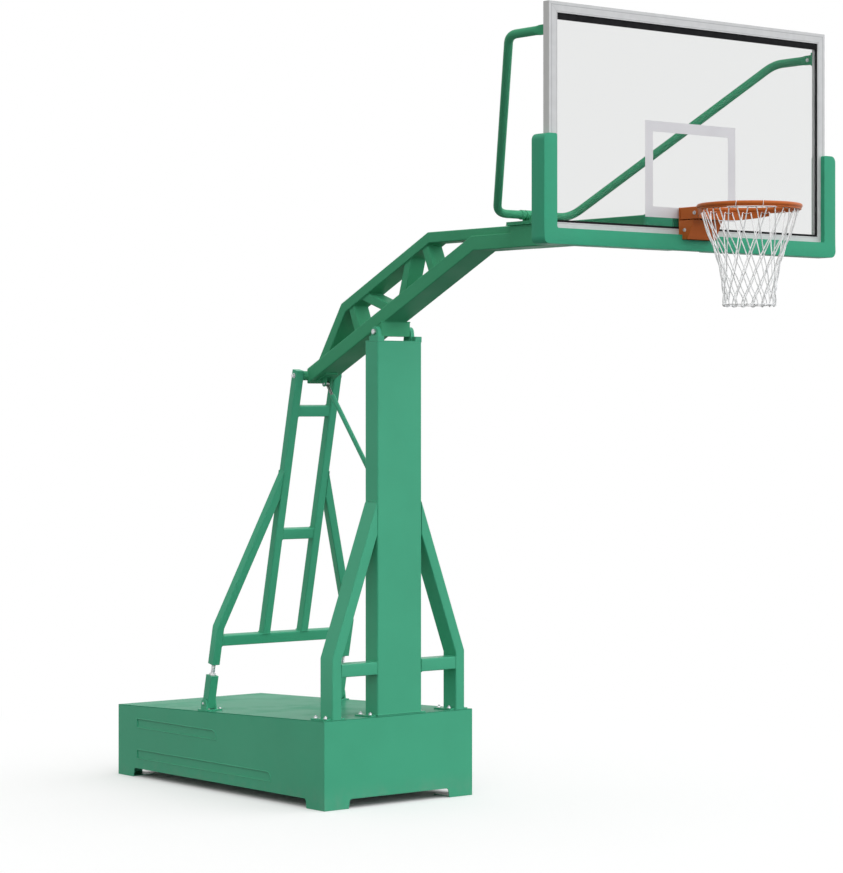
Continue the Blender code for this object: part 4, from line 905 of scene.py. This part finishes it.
def weld_arm():
    """Round the webs' ends, the upper chord's foot, the strut's lug, the bearing, saddle and bracket."""
    lines = []
    for y, z, half, along in ((2.5602, 2.5271, 0.050, 0.025), (2.6151, 2.6530, 0.050, 0.025),
                              (2.3037, 2.6467, 0.050, 0.0363), (2.4926, 2.7101, 0.050, 0.0363),
                              (2.1733, 2.7075, 0.050, 0.034), (2.1170, 2.8852, 0.050, 0.034),
                              (1.9176, 2.8268, 0.050, 0.025), (1.9746, 2.9517, 0.050, 0.025),
                              (2.8602, 2.3872, 0.060, 0.0559), (2.9070, 2.2807, 0.040, 0.050)):
        lines.append([at(0, y, z) + X * half * across + UP_ARM * along * way for across, way in CORNERS])
    lines.append(seam(0.0965, (2.286, 2.5702), (2.346, 2.5423)))
    lines.append(seam(0.0900, (1.045, 3.0315), (1.262, 3.0315)))
    lines.append(seam(0.0800, (0.2352, 2.920), (0.2352, 3.029)))
    # The arm's welds take its darker enamel: painted shade
    weld("arm_welds", "arm", "green_paint", lines, look="shaded_arm_paint")


def weld_stay():
    """At the ends of the rungs and the rail, and where the outriggers leave the uprights."""
    lines = []
    for side in SIDES:
        for x, up in ((0.1047, -0.198), (0.1047, -0.900), (0.4217, -1.499)):
            lines.append(on_stay(*((side * x, up + 0.030 * a, 0.022 * b) for b, a in CORNERS)))
        lines.append(on_stay(*((side * (0.130 + 0.025 * a), -1.469, 0.025 * b) for a, b in CORNERS)))
        lines.append(on_stay(*((side * 0.1552, -0.615 + 0.0737 * a, 0.0252 * b) for a, b in CORNERS)))
    weld("stay_welds", "stay", "green_paint", lines, 0.0026)


def weld_ring():
    """Short seams between the ring's bar and its rod, and one where the bar sits on the channel."""
    seams = []
    for step in range(LOOPS):
        start = NET_TURN + radians(11.25 + 22.5 * step)
        seams.append([round_ring(start + radians(turn), RING_RADIUS - 0.0035, 3.0305)
                      for turn in (-2.4, -1.2, 0.0, 1.2, 2.4)])
    outside = 0.2445
    seams.append([at(x, RING.y - FACE + sqrt(outside ** 2 - x * x), 3.0475)
                  for x in (-0.088, -0.044, 0.0, 0.044, 0.088)])
    weld("ring_welds", "ring_body", "orange_paint", seams, 0.0022)


def make_fasteners():
    """Hexagon bolts on every flange, pins held by a head and a nut, and the screws of small trim."""
    nut, small = bolt_head(0.0115, stem=0.007), bolt_head(0.0080)
    big, wide = bolt_head(0.0125), bolt_head(0.0200, washer=False)
    screw = domed_screw(0.0050)
    off_deck = Vector((0, 0.0345, 1)).normalized()

    def standing(side, x, y):
        return at(side * x, y, deck(y) + 0.0081), off_deck

    fix(nut, "foot_plate_bolts", "stand",
        [standing(side, x, y) for side in SIDES for x in (0.1667, 0.4615, 0.3705) for y in (2.290, 2.378)])
    fix(small, "link_bracket_bolts", "stand",
        [standing(side, 0.3945, 3.401 + step) for side in SIDES for step in (-0.032, 0.032)])
    fix(big, "pivot_pin_ends", "stand", both_ends(0.1262, PIVOT_PIN))
    fix(big, "stay_pin_ends", "arm", both_ends(0.1562, STAY_PIN))
    fix(small, "strut_foot_bolt", "stand", both_ends(0.0200, STRUT_FOOT_PIN))
    fix(small, "strut_top_bolt", "arm", both_ends(0.0200, STRUT_TOP_PIN))
    fix(small, "link_pin_ends", "stand",
        [(at(side * LINK_SIDE + way * 0.0345, *LINK_PIN), X * way) for side in SIDES for way in SIDES])
    fix(small, "ring_pin_ends", "arm", both_ends(0.0925, RING_PIN))
    fix(small, "housing_bolts", "arm", both_ends(0.0921, HOUSING_BOLT))
    fix(small, "pipe_end_bolts", "arm",
        [(at(side * (PIPE_SIDE - 0.0051), 0.083, PIPE_HEIGHT), X * -side) for side in SIDES])
    make_pipes(screw)
    make_screws(wide)
    for model in (nut, small, big, wide, screw):
        bpy.data.objects.remove(model, do_unlink=True)


# Studio

SKY_LIGHT = 0.66
KEY_LIGHT = 2.6
WHITE = (1.0, 1.0, 1.0, 1.0)


def make_stage():
    """A pale floor that fades into the white surround, darker to the light that it sends back."""
    bpy.ops.object.select_all(action="DESELECT")
    bpy.ops.mesh.primitive_plane_add(size=60, location=(0, 0, -0.0005))
    floor = bpy.context.object
    floor.name = "studio_floor"
    ground = Finish("studio_floor", (0.93, 0.93, 0.935), 0.9)
    off = ground.y - 1.2
    far = ground.math("SQRT", ground.x * ground.x + off * off)
    clear = ground.spread(far, 1.6, 4.5, 0.45, 1.0)
    base_middle = FACE + BASE_FRONT + BASE_LENGTH / 2
    outside = (abs(ground.x) - BASE_SIDE) | (abs(ground.y - base_middle) - BASE_LENGTH / 2)
    clear = clear * ground.spread(outside, -0.10, 0.10)
    white = ground.node("ShaderNodeEmission", {}, WHITE, 1.0)
    near = Signal(ground, ground.shader.outputs[0])
    look = ground.node("ShaderNodeMixShader", {}, clear, near, white)
    dull = ground.node("ShaderNodeBsdfDiffuse", {}, (0.15, 0.15, 0.15, 1.0))
    result = ground.node("ShaderNodeMixShader", {}, ground.seen(), dull, look)
    ground.feed(ground.tree.nodes["Material Output"].inputs["Surface"], result)
    floor.data.materials.append(ground.material)


def make_world():
    """Soft light all round, a little warm, seen as plain white."""
    world = bpy.data.worlds.new("studio")
    bpy.context.scene.world = world
    world.use_nodes = True
    world.node_tree.nodes.clear()
    sky = Recipe(world.node_tree)
    light = sky.node("ShaderNodeBackground", {}, (1.0, 0.995, 0.94, 1.0), SKY_LIGHT)
    white = sky.node("ShaderNodeBackground", {}, WHITE, 1.0)
    surface = sky.node("ShaderNodeMixShader", {}, sky.seen(), light, white)
    sky.node("ShaderNodeOutputWorld", {}, surface)


def make_key():
    """A broad soft key from the court's side, high on the right, a little cool."""
    key = bpy.data.lights.new("key", "SUN")
    key.energy = KEY_LIGHT
    key.angle = radians(130)
    key.color = (0.97, 1.0, 1.05)
    lamp = bpy.data.objects.new("key", key)
    lamp.rotation_euler = Vector((0.30, -0.85, 0.42)).to_track_quat("Z", "Y").to_euler()
    bpy.context.scene.collection.objects.link(lamp)


def make_camera():
    """The photograph's view: level, to the left of the board, with the frame shifted sideways."""
    camera = bpy.data.cameras.new("camera")
    camera.sensor_width = 36.0
    camera.lens = 115.385
    camera.shift_x = -0.08546
    camera.shift_y = -0.02891
    camera.clip_end = 200.0
    holder = bpy.data.objects.new("camera", camera)
    holder.location = at(-9.193, -9.5432, 2.0925)
    holder.rotation_euler = (pi / 2, 0, -0.6965)
    bpy.context.scene.collection.objects.link(holder)
    bpy.context.scene.camera = holder


for entry in frame["record"]["subparts"]:
    dress(entry["node"], entry["material_slot"])
make_rib_shoulders()
make_padding()
make_seal()
make_target()
make_net()
make_lashing()
make_hooks()
make_spring()
weld_stand()
weld_arm()
weld_stay()
weld_ring()
make_fasteners()
make_stage()
make_world()
make_key()
make_camera()
bpy.context.scene.view_settings.view_transform = "Standard"
